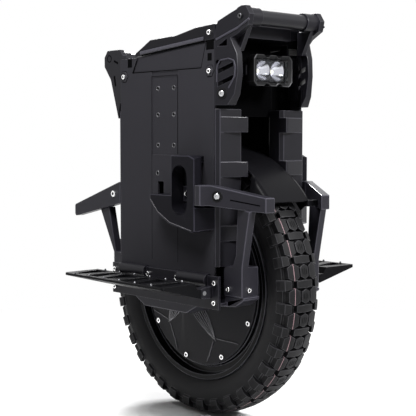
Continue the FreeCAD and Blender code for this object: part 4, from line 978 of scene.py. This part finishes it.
@dataclass
class Headlight:
    """The tilting lamp: a notched pod, a faceted bezel with a thin bright edge, and two mirror bowls."""

    half_width: float = 49 * MM
    half_height: float = 27.5 * MM
    shoulder: float = 20 * MM
    notch_depth: float = 4.5 * MM
    notch_marks: tuple[tuple[float, bool], ...] = ((42, False), (24, False), (18, True), (12, True),
                                                   (7, False))
    window_half_width: float = 36.5 * MM
    window_half_height: float = 18.5 * MM
    window_depth: float = 6 * MM
    throat_depth: float = 19.2 * MM
    edge_share: float = 0.965
    waist_share: float = 0.45
    neck_share: float = 0.6
    neck_scale: float = 0.88
    back_scale: float = 0.74
    rounding: float = 0.5 * MM
    trim_foot: float = 0.1 * MM
    trim_rise: float = 0.5 * MM
    trim_scale: float = 0.985
    bowl_radius: float = 17.4 * MM
    bowl_depth: float = 15 * MM
    bowl_offset: float = 18.25 * MM
    bowl_set_back: float = 3 * MM
    bowl_steps: int = 40
    bowl_rings: int = 10
    lip_width: float = 1 * MM
    lip_rise: float = 0.3 * MM
    chip_radius: float = 3.2 * MM
    chip_height: float = 2.5 * MM
    chip_crown: float = 1 * MM
    chip_steps: int = 12
    merge_distance: float = 0.01 * MM

    def outline(self, scale: float = 1.0) -> Outline:
        """Draw the pod's front outline about its middle, anticlockwise.

        Args:
            scale: How far it is drawn in.
        Returns:
            Its corners in Y and Z.
        """
        tall, deep = self.half_height, self.half_height - self.notch_depth
        right = [(self.half_width, self.shoulder)]
        right += [(across * MM, deep if sunk else tall) for across, sunk in self.notch_marks]
        top = right + [(-y, z) for y, z in reversed(right)]
        return [(y * scale, z * scale) for y, z in top + [(-y, -z) for y, z in top]]

    def window(self) -> Outline:
        """The outline clamped to the reflector window."""
        wide, tall = self.window_half_width, self.window_half_height
        return [(max(-wide, min(wide, y)), max(-tall, min(tall, z))) for y, z in self.outline()]

    def middle(self) -> Vector:
        """The middle of the pod's front face."""
        low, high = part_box("headlight_pod")
        return Vector((high.x, (low.y + high.y) / 2, (low.z + high.z) / 2))

    def loft(self, rings: list[tuple[float, Outline]], capped: bool) -> bmesh.types.BMesh:
        """Join outlines that stand one behind the other.

        Args:
            rings: For each ring its distance in front of the pod's face and its outline.
            capped: Whether the last ring is closed.
        Returns:
            The joined shape.
        """
        centre = self.middle()
        shape = bmesh.new()
        loops = [[shape.verts.new(centre + Vector((ahead, y, z))) for y, z in outline]
                 for ahead, outline in rings]
        join_rings(shape, loops)
        if capped:
            shape.faces.new(loops[-1])
        bmesh.ops.remove_doubles(shape, verts=shape.verts, dist=self.merge_distance)
        bmesh.ops.recalc_face_normals(shape, faces=shape.faces)
        return shape

    def pod(self) -> None:
        """Make the pod's body with its faceted bezel in one shape, and the bezel's bright edge."""
        low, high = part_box("headlight_pod")
        depth = high.x - low.x
        shape = self.loft([(-self.throat_depth, self.window()), (-self.window_depth, self.window()),
                           (0, self.outline(self.edge_share)), (0, self.outline()),
                           (-depth * self.waist_share, self.outline()),
                           (-depth * self.neck_share, self.outline(self.neck_scale)),
                           (-depth, self.outline(self.back_scale))], True)
        soften(shape, self.rounding)
        piece("headlight_pod_skin", mesh_from(shape, "headlight_pod"), DEEP_BLACK, "headlight",
              node_slot("headlight_pod"), "headlight_pod")
        trim = self.loft([(self.trim_rise / 2, self.outline(self.edge_share)),
                          (self.trim_rise, self.outline(self.trim_scale)),
                          (self.trim_foot, self.outline())], False)
        piece("headlight_edge", mesh_from(trim, "headlight_edge"), TRIM, "headlight", "bright_steel")

    def bowl(self) -> bmesh.types.BMesh:
        """Make one mirror bowl.

        Returns:
            The bowl, which opens at Z = 0.
        """
        shares = [place / self.bowl_rings for place in range(self.bowl_rings + 1)]
        profile = [(self.bowl_radius * share, -self.bowl_depth * (1 - share ** 2)) for share in shares]
        return lathe(profile, self.bowl_steps)

    def surround(self) -> bmesh.types.BMesh:
        """Make the flat plate round one bowl, which fills half of the window.

        Returns:
            The plate at Z = 0, with the bowl's round hole.
        """
        rim = self.bowl_radius + self.lip_width
        plate = lathe([(self.bowl_radius, 0), (rim, self.lip_rise), (rim + self.lip_width, 0)],
                      self.bowl_steps)
        for vert in plate.verts:
            if vert.co.xy.length > rim + self.lip_width / 2:
                vert.co.xy *= min(self.window_half_height / max(abs(vert.co.x), TINY),
                                  self.bowl_offset / max(abs(vert.co.y), TINY))
        return plate

    def chip(self) -> bmesh.types.BMesh:
        """Make one light chip.

        Returns:
            The chip, standing on the bowl's floor.
        """
        top = self.chip_height - self.bowl_depth
        return lathe([(self.chip_radius, -self.bowl_depth), (self.chip_radius, top),
                      (0, top + self.chip_crown)], self.chip_steps)

    def pair(self, name: str, make: Callable[[], bmesh.types.BMesh], finish: Finish, *nodes: str) -> None:
        """Set one shape behind each half of the window, as one piece.

        Args:
            name: The piece's name.
            make: What makes the shape, seen from Z.
            finish: Its finish.
            nodes: CAD nodes that it stands for.
        """
        turn = Matrix.Rotation(math.pi / 2, 4, "Y")
        back = -self.window_depth - self.bowl_set_back
        shapes = []
        for across in (-self.bowl_offset, self.bowl_offset):
            shape = make()
            foot = Matrix.Translation(self.middle() + Vector((back, across, 0))) @ turn
            bmesh.ops.transform(shape, matrix=foot, verts=shape.verts)
            shapes.append(shape)
        piece(name, mesh_from(gathered(shapes), name), finish, "headlight", "reflector", *nodes)

    def build(self) -> None:
        """Build the lamp."""
        self.pod()
        self.pair("headlight_bowls", self.bowl, MIRROR, "headlight_reflectors")
        self.pair("headlight_surround", self.surround, SURROUND)
        # The chips glow faintly: painted light.
        self.pair("headlight_chips", self.chip, PAINTED_GLOW_CHIP)


@dataclass(frozen=True)
class Face:
    """An upright face of the right side, through one point of it in millimetres."""

    body: str
    x: float
    y: float
    facing: tuple[float, float, float] = (0.0, -1.0, 0.0)

    def point(self, x: float, z: float, side: Side) -> Vector:
        """A point of the face, or of its mirror image on the left."""
        slope = -self.facing[0] / self.facing[1]
        return mirrored(Vector((x, self.y + (x - self.x) * slope, z)) * MM, side)

    def out(self, side: Side) -> Vector:
        """The direction in which the face looks on a side."""
        return mirrored(Vector(self.facing), side)


PANEL = Face("shell", 0, panel_face(Side.RIGHT) / MM)
HOUSING = Face("shell", 0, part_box("slide_housing_right")[0].y / MM)
REAR_BRACKET = Face("shell", 0, -106)
SLANT = Face("shell", 148, -107.2, (0.333, -0.943, 0.0))
CHEEK = Face("shell", 160, -103, (0.4008, -0.916, 0.0))
BAR_STAY = Face("shell", 176, -96)
ARM = Face("frame", 155.75, -125.75, (0.5026, -0.8645, 0.0))


@dataclass
class BracketHardware:
    """Bolts on slanted faces, with their pockets and bosses. Spots are in millimetres on their faces."""

    bracket_spot: tuple[float, float] = (148, 604)
    arm_spot: tuple[float, float] = (155.75, 426)
    boss_spots: tuple[tuple[float, float], ...] = ((121.5, 644), (-121.5, 644))
    bolt_radius: float = 5 * MM
    bolt_height: float = 3.4 * MM
    pocket_radius: float = 9.5 * MM
    pocket_wall: float = 1.6 * MM
    pocket_rise: float = 0.9 * MM
    pocket_skirt: float = 1 * MM
    pocket_slope: float = 0.6 * MM
    pocket_floor: float = 0.15 * MM
    pocket_steps: int = 28
    boss_radius: float = 11 * MM
    boss_rise: float = 1.1 * MM
    boss_foot: float = 0.5 * MM
    boss_slope: float = 1 * MM
    boss_wall: float = 2 * MM
    boss_floor: float = 0.1 * MM
    boss_sides: int = 6

    def collar(self) -> bmesh.types.BMesh:
        """Make a low round collar.

        Returns:
            The collar, standing on Z = 0.
        """
        inner = self.pocket_radius - self.pocket_wall
        return lathe([(self.pocket_radius + self.pocket_skirt, -self.pocket_skirt),
                      (self.pocket_radius, self.pocket_rise), (inner, self.pocket_rise),
                      (inner - self.pocket_slope, self.pocket_floor), (0, self.pocket_floor)],
                     self.pocket_steps)

    def boss(self) -> bmesh.types.BMesh:
        """Make a low hexagonal boss with a sunk middle.

        Returns:
            The boss, standing on Z = 0.
        """
        outer = self.boss_radius - self.boss_slope
        inner = outer - self.boss_wall
        return lathe([(self.boss_radius, -self.boss_foot), (outer, self.boss_rise), (inner, self.boss_rise),
                      (inner - self.boss_slope, self.boss_floor), (0, self.boss_floor)], self.boss_sides)

    def build(self) -> None:
        """Set the bolts, collars and bosses on both sides."""
        size = Vector((self.bolt_radius, self.bolt_radius, self.bolt_height))
        for side in Side:
            for name, face, spot in (("bracket_bolt", SLANT, self.bracket_spot),
                                     ("arm_bolt", ARM, self.arm_spot)):
                foot, turn = face.point(*spot, side), aim(face.out(side))
                label = f"{name}_{side.word}"
                set_copies(label, SocketBolts().head(), BRIGHT, [(foot, turn, size)], face.body,
                           "bright_steel")
                set_copies(label + "_collar", self.collar(), DEEP_BLACK, [(foot, turn, UNIT)], face.body,
                           "black_metal")
            spots = [(PANEL.point(*spot, side), aim(PANEL.out(side)), UNIT) for spot in self.boss_spots]
            set_copies("panel_bosses_" + side.word, self.boss(), PANEL_BLACK, spots, "shell",
                       "black_plastic")


class Relief(Enum):
    """Kinds of line on a face: a dark seam or painted shade, a raised rib, or a painted highlight along an
    edge.
    """

    GAP = "gap"
    RIB = "rib"
    EDGE = "edge"


@dataclass(frozen=True)
class Stroke:
    """One line along a path of (x, z) points on a face of the right side, in millimetres."""

    kind: Relief
    face: Face
    width: float
    points: tuple[tuple[float, float], ...]


@dataclass
class Linework:
    """Seams, painted shade, ribs and painted highlights that follow paths on the faces of both sides."""

    gap_rise: float = 0.12 * MM
    rib_rise: float = 1.3 * MM
    bar_outline: tuple[tuple[float, float], ...] = ((-0.5, -1), (0.5, -1), (0.5, 0.2), (0.28, 1),
                                                    (-0.28, 1), (-0.5, 0.2))
    boss_radius: float = 11.6
    boss_width: float = 1.0
    bar_end: tuple[float, float] = (-177, 682)
    bar_end_radius: float = 6.5
    bar_end_width: float = 2.0
    bar_end_sides: int = 12
    strokes: tuple[Stroke, ...] = (
        # The pad strip's seam, which the slide housing interrupts.
        Stroke(Relief.GAP, PANEL, 0.9, ((-39, 300), (-39, 641), (35, 641), (35, 498))),
        Stroke(Relief.GAP, PANEL, 0.9, ((35, 378), (35, 300))),
        # The lid's seam, and the deck's seam above it, widened into a painted shadow under the deck's
        # overhang.
        Stroke(Relief.GAP, PANEL, 1.4, ((-81, 677), (-96.5, 650.2), (99, 650.2), (111.5, 694))),
        Stroke(Relief.GAP, PANEL, 2.6, ((-68, 681.6), (108, 696.7))),
        # Painted shade for the openings at the panel's upper corners: dark patches on the face.
        Stroke(Relief.GAP, PANEL, 20, ((122.5, 681), (122.5, 698))),
        Stroke(Relief.GAP, PANEL, 11, ((121.5, 662), (121.5, 675))),
        Stroke(Relief.GAP, PANEL, 13, ((-104, 661), (-104, 677))),
        # Painted shade in the front arm's groove.
        Stroke(Relief.GAP, ARM, 2.2, ((176, 420), (222, 411))),
        # A painted highlight along the slide housing's lower edge.
        Stroke(Relief.EDGE, HOUSING, 1.3, ((-2, 415.5), (18.5, 394), (52, 376.2), (111, 364.2))),
        # The raised frame round the front bracket's slots, paler than the bracket: a painted highlight.
        Stroke(Relief.RIB, SLANT, 2.6, ((138.5, 624), (138.5, 650), (144, 661), (160, 664))),
        Stroke(Relief.RIB, CHEEK, 2.6, ((160, 664), (169, 660), (171.5, 650), (170.5, 633), (160, 613))),
        # Painted shade in the rear bracket's slots.
        Stroke(Relief.GAP, REAR_BRACKET, 4, ((-162, 677), (-149, 672))),
        Stroke(Relief.GAP, REAR_BRACKET, 5, ((-161, 648), (-157.5, 628))),
        # The deck's lip, and the rib that goes on from it to the front bar, paler than the deck and brackets:
        # a painted highlight.
        Stroke(Relief.RIB, PANEL, 7, ((-72, 686.2), (106, 701.4))),
        Stroke(Relief.RIB, SLANT, 4, ((137, 697), (160, 708))),
        Stroke(Relief.RIB, CHEEK, 4, ((160, 708), (176, 716))),
        Stroke(Relief.RIB, BAR_STAY, 4, ((176, 716), (203, 729))),
    )

    def ring(self, face: Face, middle: tuple[float, float], radius: float, sides: int,
             width: float) -> Stroke:
        """Draw a closed outline of painted shade.

        Args:
            face: The face that it lies on.
            middle: Its middle.
            radius: Its radius to the corners.
            sides: How many sides it has.
            width: The line's width.
        Returns:
            The stroke.
        """
        corners = [on_circle(radius, place / sides) for place in range(sides + 1)]
        return Stroke(Relief.GAP, face, width, tuple((middle[0] + x, middle[1] + z) for x, z in corners))

    def rings(self) -> list[Stroke]:
        """Draw outlines of painted shade round the rear bar's ends and the bosses at the panels' corners.

        Returns:
            The strokes.
        """
        made = [self.ring(REAR_BRACKET, self.bar_end, self.bar_end_radius, self.bar_end_sides,
                          self.bar_end_width)]
        made += [self.ring(PANEL, spot, self.boss_radius, BracketHardware.boss_sides, self.boss_width)
                 for spot in BracketHardware.boss_spots]
        return made

    def bar(self) -> bmesh.types.BMesh:
        """Make a bar of unit length, width and rise, with sloped flanks.

        Returns:
            The bar along X, standing on Z = 0.
        """
        shape = prism(self.bar_outline, 0, 1)
        turn = Matrix(((0, 0, 1, 0), (1, 0, 0, 0), (0, 1, 0, 0), (0, 0, 0, 1)))
        bmesh.ops.transform(shape, matrix=turn, verts=shape.verts)
        return shape

    def spots(self, stroke: Stroke, side: Side) -> list[Spot]:
        """Find where the bars of one stroke lie.

        Args:
            stroke: The stroke.
            side: The side that it is drawn on.
        Returns:
            The foot, the turn and the scale of each bar.
        """
        facing = stroke.face.out(side)
        points = [stroke.face.point(*point, side) for point in stroke.points]
        rise = self.rib_rise if stroke.kind is Relief.RIB else self.gap_rise
        made = []
        for first, second in zip(points, points[1:]):
            ahead = (second - first).normalized()
            up = (facing - ahead * facing.dot(ahead)).normalized()
            turn = Matrix((ahead, up.cross(ahead), up)).transposed().to_euler()
            made.append((first, turn, Vector(((second - first).length, stroke.width * MM, rise))))
        return made

    def build(self) -> None:
        """Lay the lines, one piece for each kind, body and side."""
        strokes = [*self.strokes, *self.rings()]
        for side in Side:
            # Gap lines are seams and painted shade, edge lines a painted highlight, and ribs take the paler
            # frame coat as a painted highlight.
            for kind, body, finish, slot in ((Relief.GAP, "shell", SEAM_AND_PAINTED_SHADE, "black_plastic"),
                                             (Relief.GAP, "frame", SEAM_AND_PAINTED_SHADE, "black_metal"),
                                             (Relief.EDGE, "shell", EDGE_PAINTED_HIGHLIGHT, "black_plastic"),
                                             (Relief.RIB, "shell", FRAME_BLACK, "black_plastic")):
                spots = [spot for stroke in strokes if (stroke.kind, stroke.face.body) == (kind, body)
                         for spot in self.spots(stroke, side)]
                set_copies(f"{kind.value}_lines_{body}_{side.word}", self.bar(), finish, spots, body, slot)


@dataclass
class MotorRibs:
    """Raised spokes on the motor covers, each a bundle of lines that parts near the rim."""

    spokes: int = 5
    first_angle: float = math.radians(-62)
    rim_face: float = 28.5 * MM
    crown: float = 25.5 * MM
    hub_radius: float = 44 * MM
    hub_gap: float = 10 * MM
    flat_radius: float = 141 * MM
    line_width: float = 2.2 * MM
    line_rise: float = 1.6 * MM
    line_root: float = 1 * MM
    line_crest_share: float = 0.45
    line_offsets: tuple[float, ...] = (-16 * MM, -11 * MM, -6 * MM, 0.0, 6 * MM, 11 * MM, 16 * MM)
    line_end_share: float = 0.28
    line_bend: float = 1.6
    line_steps: int = 6
    outer_shortening: float = 0.8
    part_radius: float = 118 * MM
    end_radius: float = 150 * MM
    branch_angle: float = math.radians(19)
    branch_overlap: float = 4 * MM
    branch_offset: float = 5 * MM
    branch_steps: int = 3

    def height(self, radius: float) -> float:
        """The cover's height over the wheel's middle plane at a radius."""
        share = (self.flat_radius - radius) / (self.flat_radius - self.hub_radius)
        return self.rim_face + self.crown * max(0.0, min(1.0, share))

    def line(self, path: Outline) -> bmesh.types.BMesh:
        """Make one raised line that lies on the cone.

        Args:
            path: Its points in the plane of the cover.
        Returns:
            The line, closed at both ends.
        """
        shape = bmesh.new()
        half = self.line_width / 2
        crest = half * self.line_crest_share
        section = ((-half, -self.line_root), (-crest, self.line_rise), (crest, self.line_rise),
                   (half, -self.line_root))
        rows = []
        for place, point in enumerate(path):
            before, after = Vector(path[max(place - 1, 0)]), Vector(path[min(place + 1, len(path) - 1)])
            along = (after - before).normalized()
            across = Vector((-along.y, along.x))
            row = []
            for offset, rise in section:
                spot = Vector(point) + across * offset
                row.append(shape.verts.new((spot.x, spot.y, self.height(spot.length) + rise)))
            rows.append(row)
        return capped_rings(shape, rows)

    def spoke(self) -> bmesh.types.BMesh:
        """Make one spoke with its two branches.

        Returns:
            The spoke along X, seen from Z.
        """
        start = self.hub_radius + self.hub_gap
        shares = [place / self.line_steps for place in range(self.line_steps + 1)]
        shapes = []
        for offset in self.line_offsets:
            reach = self.part_radius - abs(offset) * self.outer_shortening - start
            shapes.append(self.line([(start + reach * share,
                                      offset * (1 - (1 - self.line_end_share) * share ** self.line_bend))
                                     for share in shares]))
        for turn in (-self.branch_angle, self.branch_angle):
            near = Vector((self.part_radius - self.branch_overlap, math.copysign(self.branch_offset, turn)))
            far = Vector((self.end_radius * math.cos(turn), self.end_radius * math.sin(turn)))
            shapes.append(self.line([tuple(near.lerp(far, place / self.branch_steps))
                                     for place in range(self.branch_steps + 1)]))
        return gathered(shapes)

    def build(self) -> None:
        """Set the spokes round both covers."""
        for side in Side:
            facing = Matrix.Rotation(-side.value * math.pi / 2, 4, "X")
            spots = []
            for place in range(self.spokes):
                spin = Matrix.Rotation(self.first_angle + FULL_TURN * place / self.spokes, 4, "Z")
                spots.append((Vector((0, 0, AXLE_HEIGHT)), (facing @ spin).to_euler(), UNIT))
            # The ribs are paler than the cover: a painted highlight.
            set_copies("motor_ribs_" + side.word, self.spoke(), COVER_RIB_HIGHLIGHT, spots, "wheel", "black_metal")


@dataclass
class FenderCheeks:
    """Rounded cheeks that close the fender's front end down to the arms."""

    half_width: float = 46 * MM
    outer_radius: float = 267.3 * MM
    inner_radius: float = 264.2 * MM
    overlap: float = 0.5 * MM
    flare: float = 9.5 * MM
    least_flare_share: float = 0.1
    bend_share: float = 0.55
    bend_drop: float = 1 * MM
    inner_bend_share: float = 0.4
    inner_bend_drop: float = 0.6 * MM
    side_drop: float = 6.5 * MM
    inside_drop: float = 8 * MM
    wall: float = 2.5 * MM
    low_radius: float = 236 * MM
    least_depth: float = 6 * MM
    clear_x: float = 160.5 * MM
    first_angle: float = math.radians(37.5)
    full_angle: float = math.radians(43)
    last_angle: float = math.radians(52)
    smooth_angle: float = math.radians(50)
    steps: int = 12

    def section(self, angle: float) -> Outline:
        """Draw the cheek's section at one place along the fender.

        Args:
            angle: The place, measured from the top of the wheel.
        Returns:
            Corners as (distance from the middle plane, radius), closed.
        """
        share = (angle - self.first_angle) / (self.full_angle - self.first_angle)
        share = min(1.0, max(self.least_flare_share, share))
        flare = self.flare * share
        low = min(max(self.low_radius, self.clear_x / math.sin(angle)), self.inner_radius - self.least_depth)
        root = self.half_width - self.overlap
        side = self.half_width + flare
        inside = side - self.wall * share
        return [(root, self.outer_radius),
                (self.half_width + flare * self.bend_share, self.outer_radius - self.bend_drop),
                (side, self.outer_radius - self.side_drop), (side, low), (inside, low),
                (inside, self.outer_radius - self.inside_drop),
                (self.half_width + flare * self.inner_bend_share, self.inner_radius - self.inner_bend_drop),
                (root, self.inner_radius)]

    def build(self) -> None:
        """Make the cheek on each side."""
        for side in Side:
            shape = bmesh.new()
            rings = []
            for place in range(self.steps + 1):
                angle = self.first_angle + (self.last_angle - self.first_angle) * place / self.steps
                rings.append([shape.verts.new((radius * math.sin(angle), side.value * out,
                                               AXLE_HEIGHT + radius * math.cos(angle)))
                              for out, radius in self.section(angle)])
            name = "fender_cheek_" + side.word
            mesh = mesh_from(capped_rings(shape, rings), name, self.smooth_angle)
            piece(name, mesh, GUARD_BLACK, "frame", node_slot("fender"))


@dataclass
class HoodWings:
    """Fillets that close the deck's hood out to the front brackets."""

    outline: tuple[tuple[float, float], ...] = ((136, 706), (152, 706), (153, 722), (149, 733), (136, 729))
    inner: float = 59 * MM
    outer: float = 83.6 * MM
    rounding: float = 0.8 * MM

    def build(self) -> None:
        """Make the wing on each side."""
        turn = Matrix(((1, 0, 0, 0), (0, 0, 1, 0), (0, 1, 0, 0), (0, 0, 0, 1)))
        for side in Side:
            ends = sorted((side.value * self.inner, side.value * self.outer))
            shape = prism([(x * MM, z * MM) for x, z in self.outline], *ends)
            bmesh.ops.transform(shape, matrix=turn, verts=shape.verts)
            bmesh.ops.recalc_face_normals(shape, faces=shape.faces)
            soften(shape, self.rounding)
            name = "hood_wing_" + side.word
            piece(name, mesh_from(shape, name), DECK_BLACK, "shell", node_slot("top_deck"))


def upright_bar(half_x: float, middle_y: float, half_y: float, root: float, rise: float) -> bmesh.types.BMesh:
    """Make a straight bar that stands a little in a surface and a little proud of it.

    Args:
        half_x: Half its size along X.
        middle_y: Its middle in Y.
        half_y: Half its size along Y.
        root: How far it reaches below Z = 0.
        rise: How far it reaches above.
    Returns:
        The bar.
    """
    return prism([(-half_x, middle_y - half_y), (half_x, middle_y - half_y),
                  (half_x, middle_y + half_y), (-half_x, middle_y + half_y)], -root, rise)


@dataclass
class TreadSipes:
    """Fine cuts on the tread blocks, shown as dark lines."""

    pitches: int = 36
    radius: float = 250 * MM
    half_width: float = 0.55 * MM
    root: float = 1 * MM
    proud: float = 0.15 * MM
    length: float = 12 * MM
    spread: float = 4.5 * MM
    length_shares: tuple[float, ...] = (0.75, 1.0, 0.75)

    def cuts(self) -> bmesh.types.BMesh:
        """Make three parallel lines on one block.

        Returns:
            The lines, standing along Z and running along X.
        """
        return gathered([upright_bar(self.length / 2 * share, (place - 1) * self.spread, self.half_width,
                                     self.root, self.proud)
                         for place, share in enumerate(self.length_shares)])

    def build(self) -> None:
        """Set the cuts on every centre block."""
        spots = []
        for place in range(self.pitches):
            share = place / self.pitches
            up, ahead = on_circle(self.radius, share)
            spots.append((Vector((ahead, 0, AXLE_HEIGHT + up)), Euler((0, FULL_TURN * share, 0)), UNIT))
        set_copies("tread_sipes", self.cuts(), SIPE, spots, "wheel", "tyre")


@dataclass
class DeckSlats:
    """Low slats across the deck, as a knee and hand grip."""

    profile: tuple[tuple[float, float], ...] = ((-70, 695), (-43, 709), (31, 712), (85, 722), (133, 725))
    step: float = 12 * MM
    half_length: float = 92 * MM
    half_width: float = 2 * MM
    root: float = 1 * MM
    rise: float = 1.2 * MM
    rounding: float = 0.5 * MM
    first: float = -36 * MM
    last: float = 118 * MM

    def height(self, x: float) -> float:
        """Find the deck's height at a place along it.

        Args:
            x: The place.
        Returns:
            The height.
        """
        marks = [(along * MM, height * MM) for along, height in self.profile]
        for (x0, z0), (x1, z1) in zip(marks, marks[1:]):
            if x0 <= x <= x1:
                return z0 + (z1 - z0) * (x - x0) / (x1 - x0)
        return marks[-1][1]

    def build(self) -> None:
        """Set the slats along the deck."""
        slat = upright_bar(self.half_width, 0, self.half_length, self.root, self.rise)
        soften(slat, self.rounding)
        count = int((self.last - self.first) / self.step) + 1
        places = [self.first + place * self.step for place in range(count)]
        spots = [(Vector((x, 0, self.height(x))), LEVEL, UNIT) for x in places]
        set_copies("deck_slats", slat, DECK_BLACK, spots, "shell", "black_plastic")


@dataclass(frozen=True)
class Lamp:
    """A soft square lamp: its place, its edge and its power in watts."""

    name: str
    place: tuple[float, float, float]
    size: float
    power: float

    def hang(self, target: Vector) -> None:
        """Hang the lamp so that it faces a target.

        Args:
            target: The point that it lights.
        """
        light = bpy.data.lights.new(self.name, "AREA")
        light.size = self.size
        light.energy = self.power
        lamp = linked_object(self.name, light)
        lamp.location = self.place
        lamp.rotation_euler = (target - Vector(self.place)).to_track_quat("-Z", "Y").to_euler()


@dataclass
class Studio:
    """Pale floor, soft light and the camera of the photograph."""

    azimuth: float = 0.740215
    distance: float = 1.9908
    height: float = 0.52451
    yaw: float = 0.001985
    pitch: float = -0.066035
    focal_pixels: float = 1037.314
    image_pixels: float = 416.0
    sensor: float = 36.0
    floor_half: float = 30.0
    floor_tone: float = 0.95
    floor_roughness: float = 0.9
    sky_light: float = 0.12
    floor_light: float = 0.05
    fade_start: float = 0.35
    fade_end: float = 1.3
    target_height: float = 0.4
    lamps: tuple[Lamp, ...] = (Lamp("key", (0.35, -0.8, 1.65), 0.6, 24),
                               Lamp("front", (2.2, 0.7, 1.7), 0.6, 75),
                               Lamp("rim", (-1.6, 1.3, 1.9), 0.8, 100))

    def camera(self) -> None:
        """Set the camera where the photograph was taken from."""
        lens = bpy.data.cameras.new("camera")
        lens.sensor_width = self.sensor
        lens.lens = self.sensor * self.focal_pixels / self.image_pixels
        eye = linked_object("camera", lens)
        out = Vector((math.cos(self.azimuth), -math.sin(self.azimuth), 0))
        eye.location = out * self.distance + Vector((0, 0, self.height))
        ahead = Matrix.Rotation(self.yaw, 3, "Z") @ -out
        ahead = ahead * math.cos(self.pitch) + Vector((0, 0, math.sin(self.pitch)))
        eye.rotation_euler = ahead.to_track_quat("-Z", "Y").to_euler()
        bpy.context.scene.camera = eye

    def white_where_seen(self, tree: bpy.types.NodeTree, unseen: float) -> bpy.types.NodeSocket:
        """Give full strength to rays that see the background: direct, mirrored or through glass.

        Args:
            tree: The tree that gets the nodes.
            unseen: The strength for all other rays.
        Returns:
            A socket with the strength.
        """
        path = add_node(tree, "ShaderNodeLightPath")
        seen = path.outputs["Is Camera Ray"]
        for name in ("Is Glossy Ray", "Is Transmission Ray"):
            both = add_node(tree, "ShaderNodeMath", operation="ADD", use_clamp=True)
            tree.links.new(seen, both.inputs[0])
            tree.links.new(path.outputs[name], both.inputs[1])
            seen = both.outputs[0]
        strength = add_node(tree, "ShaderNodeMapRange", {"To Min": unseen, "To Max": 1.0})
        tree.links.new(seen, strength.inputs["Value"])
        return strength.outputs["Result"]

    def backdrop(self) -> None:
        """Lay the floor and light the world plainly, white to the camera and in reflections of it."""
        shape = bmesh.new()
        bmesh.ops.create_grid(shape, x_segments=1, y_segments=1, size=self.floor_half)
        floor = linked_object("floor", mesh_from(shape, "floor"))
        floor.data.materials.append(self.floor_material())
        world = bpy.data.worlds.new("studio")
        bpy.context.scene.world = world
        world.use_nodes = True
        tree = world.node_tree
        sky = tree.nodes["Background"]
        set_inputs(sky, {"Color": (1, 1, 1, 1)})
        tree.links.new(self.white_where_seen(tree, self.sky_light), sky.inputs["Strength"])

    def floor_material(self) -> bpy.types.Material:
        """Make the floor's material: pale where the shadow falls, and plain white far off.

        Returns:
            The material.
        """
        material = bpy.data.materials.new("pale floor")
        material.use_nodes = True
        tree = material.node_tree
        shader = tree.nodes["Principled BSDF"]
        tone = self.floor_tone
        set_inputs(shader, {"Base Color": (tone, tone, tone, 1), "Roughness": self.floor_roughness,
                            "Specular IOR Level": 0.0})
        place = add_node(tree, "ShaderNodeTexCoord")
        reach = add_node(tree, "ShaderNodeVectorMath", operation="LENGTH")
        fade = add_node(tree, "ShaderNodeMapRange", {"From Min": self.fade_start, "From Max": self.fade_end})
        white = add_node(tree, "ShaderNodeEmission")
        mix = add_node(tree, "ShaderNodeMixShader")
        link = tree.links.new
        link(self.white_where_seen(tree, self.floor_light), white.inputs["Strength"])
        link(place.outputs["Object"], reach.inputs[0])
        link(reach.outputs["Value"], fade.inputs["Value"])
        link(fade.outputs["Result"], mix.inputs["Fac"])
        link(shader.outputs["BSDF"], mix.inputs[1])
        link(white.outputs["Emission"], mix.inputs[2])
        link(mix.outputs["Shader"], tree.nodes["Material Output"].inputs["Surface"])
        return material

    def build(self) -> None:
        """Build the studio."""
        bpy.context.scene.view_settings.view_transform = "Standard"
        self.camera()
        self.backdrop()
        for lamp in self.lamps:
            lamp.hang(Vector((0, 0, self.target_height)))


def main() -> None:
    """Build every sub-assembly in order, then the studio."""
    logging.basicConfig(level=logging.INFO, format="%(name)s: %(message)s")
    for part in (Solids(), SocketBolts(), PadEyelets(), GripPins(), Headlight(), BracketHardware(),
                 Linework(), MotorRibs(), FenderCheeks(), HoodWings(), TreadSipes(), DeckSlats(), Studio()):
        part.build()
        LOG.info("finished %s", type(part).__name__)


if __name__ == "__main__":
    main()
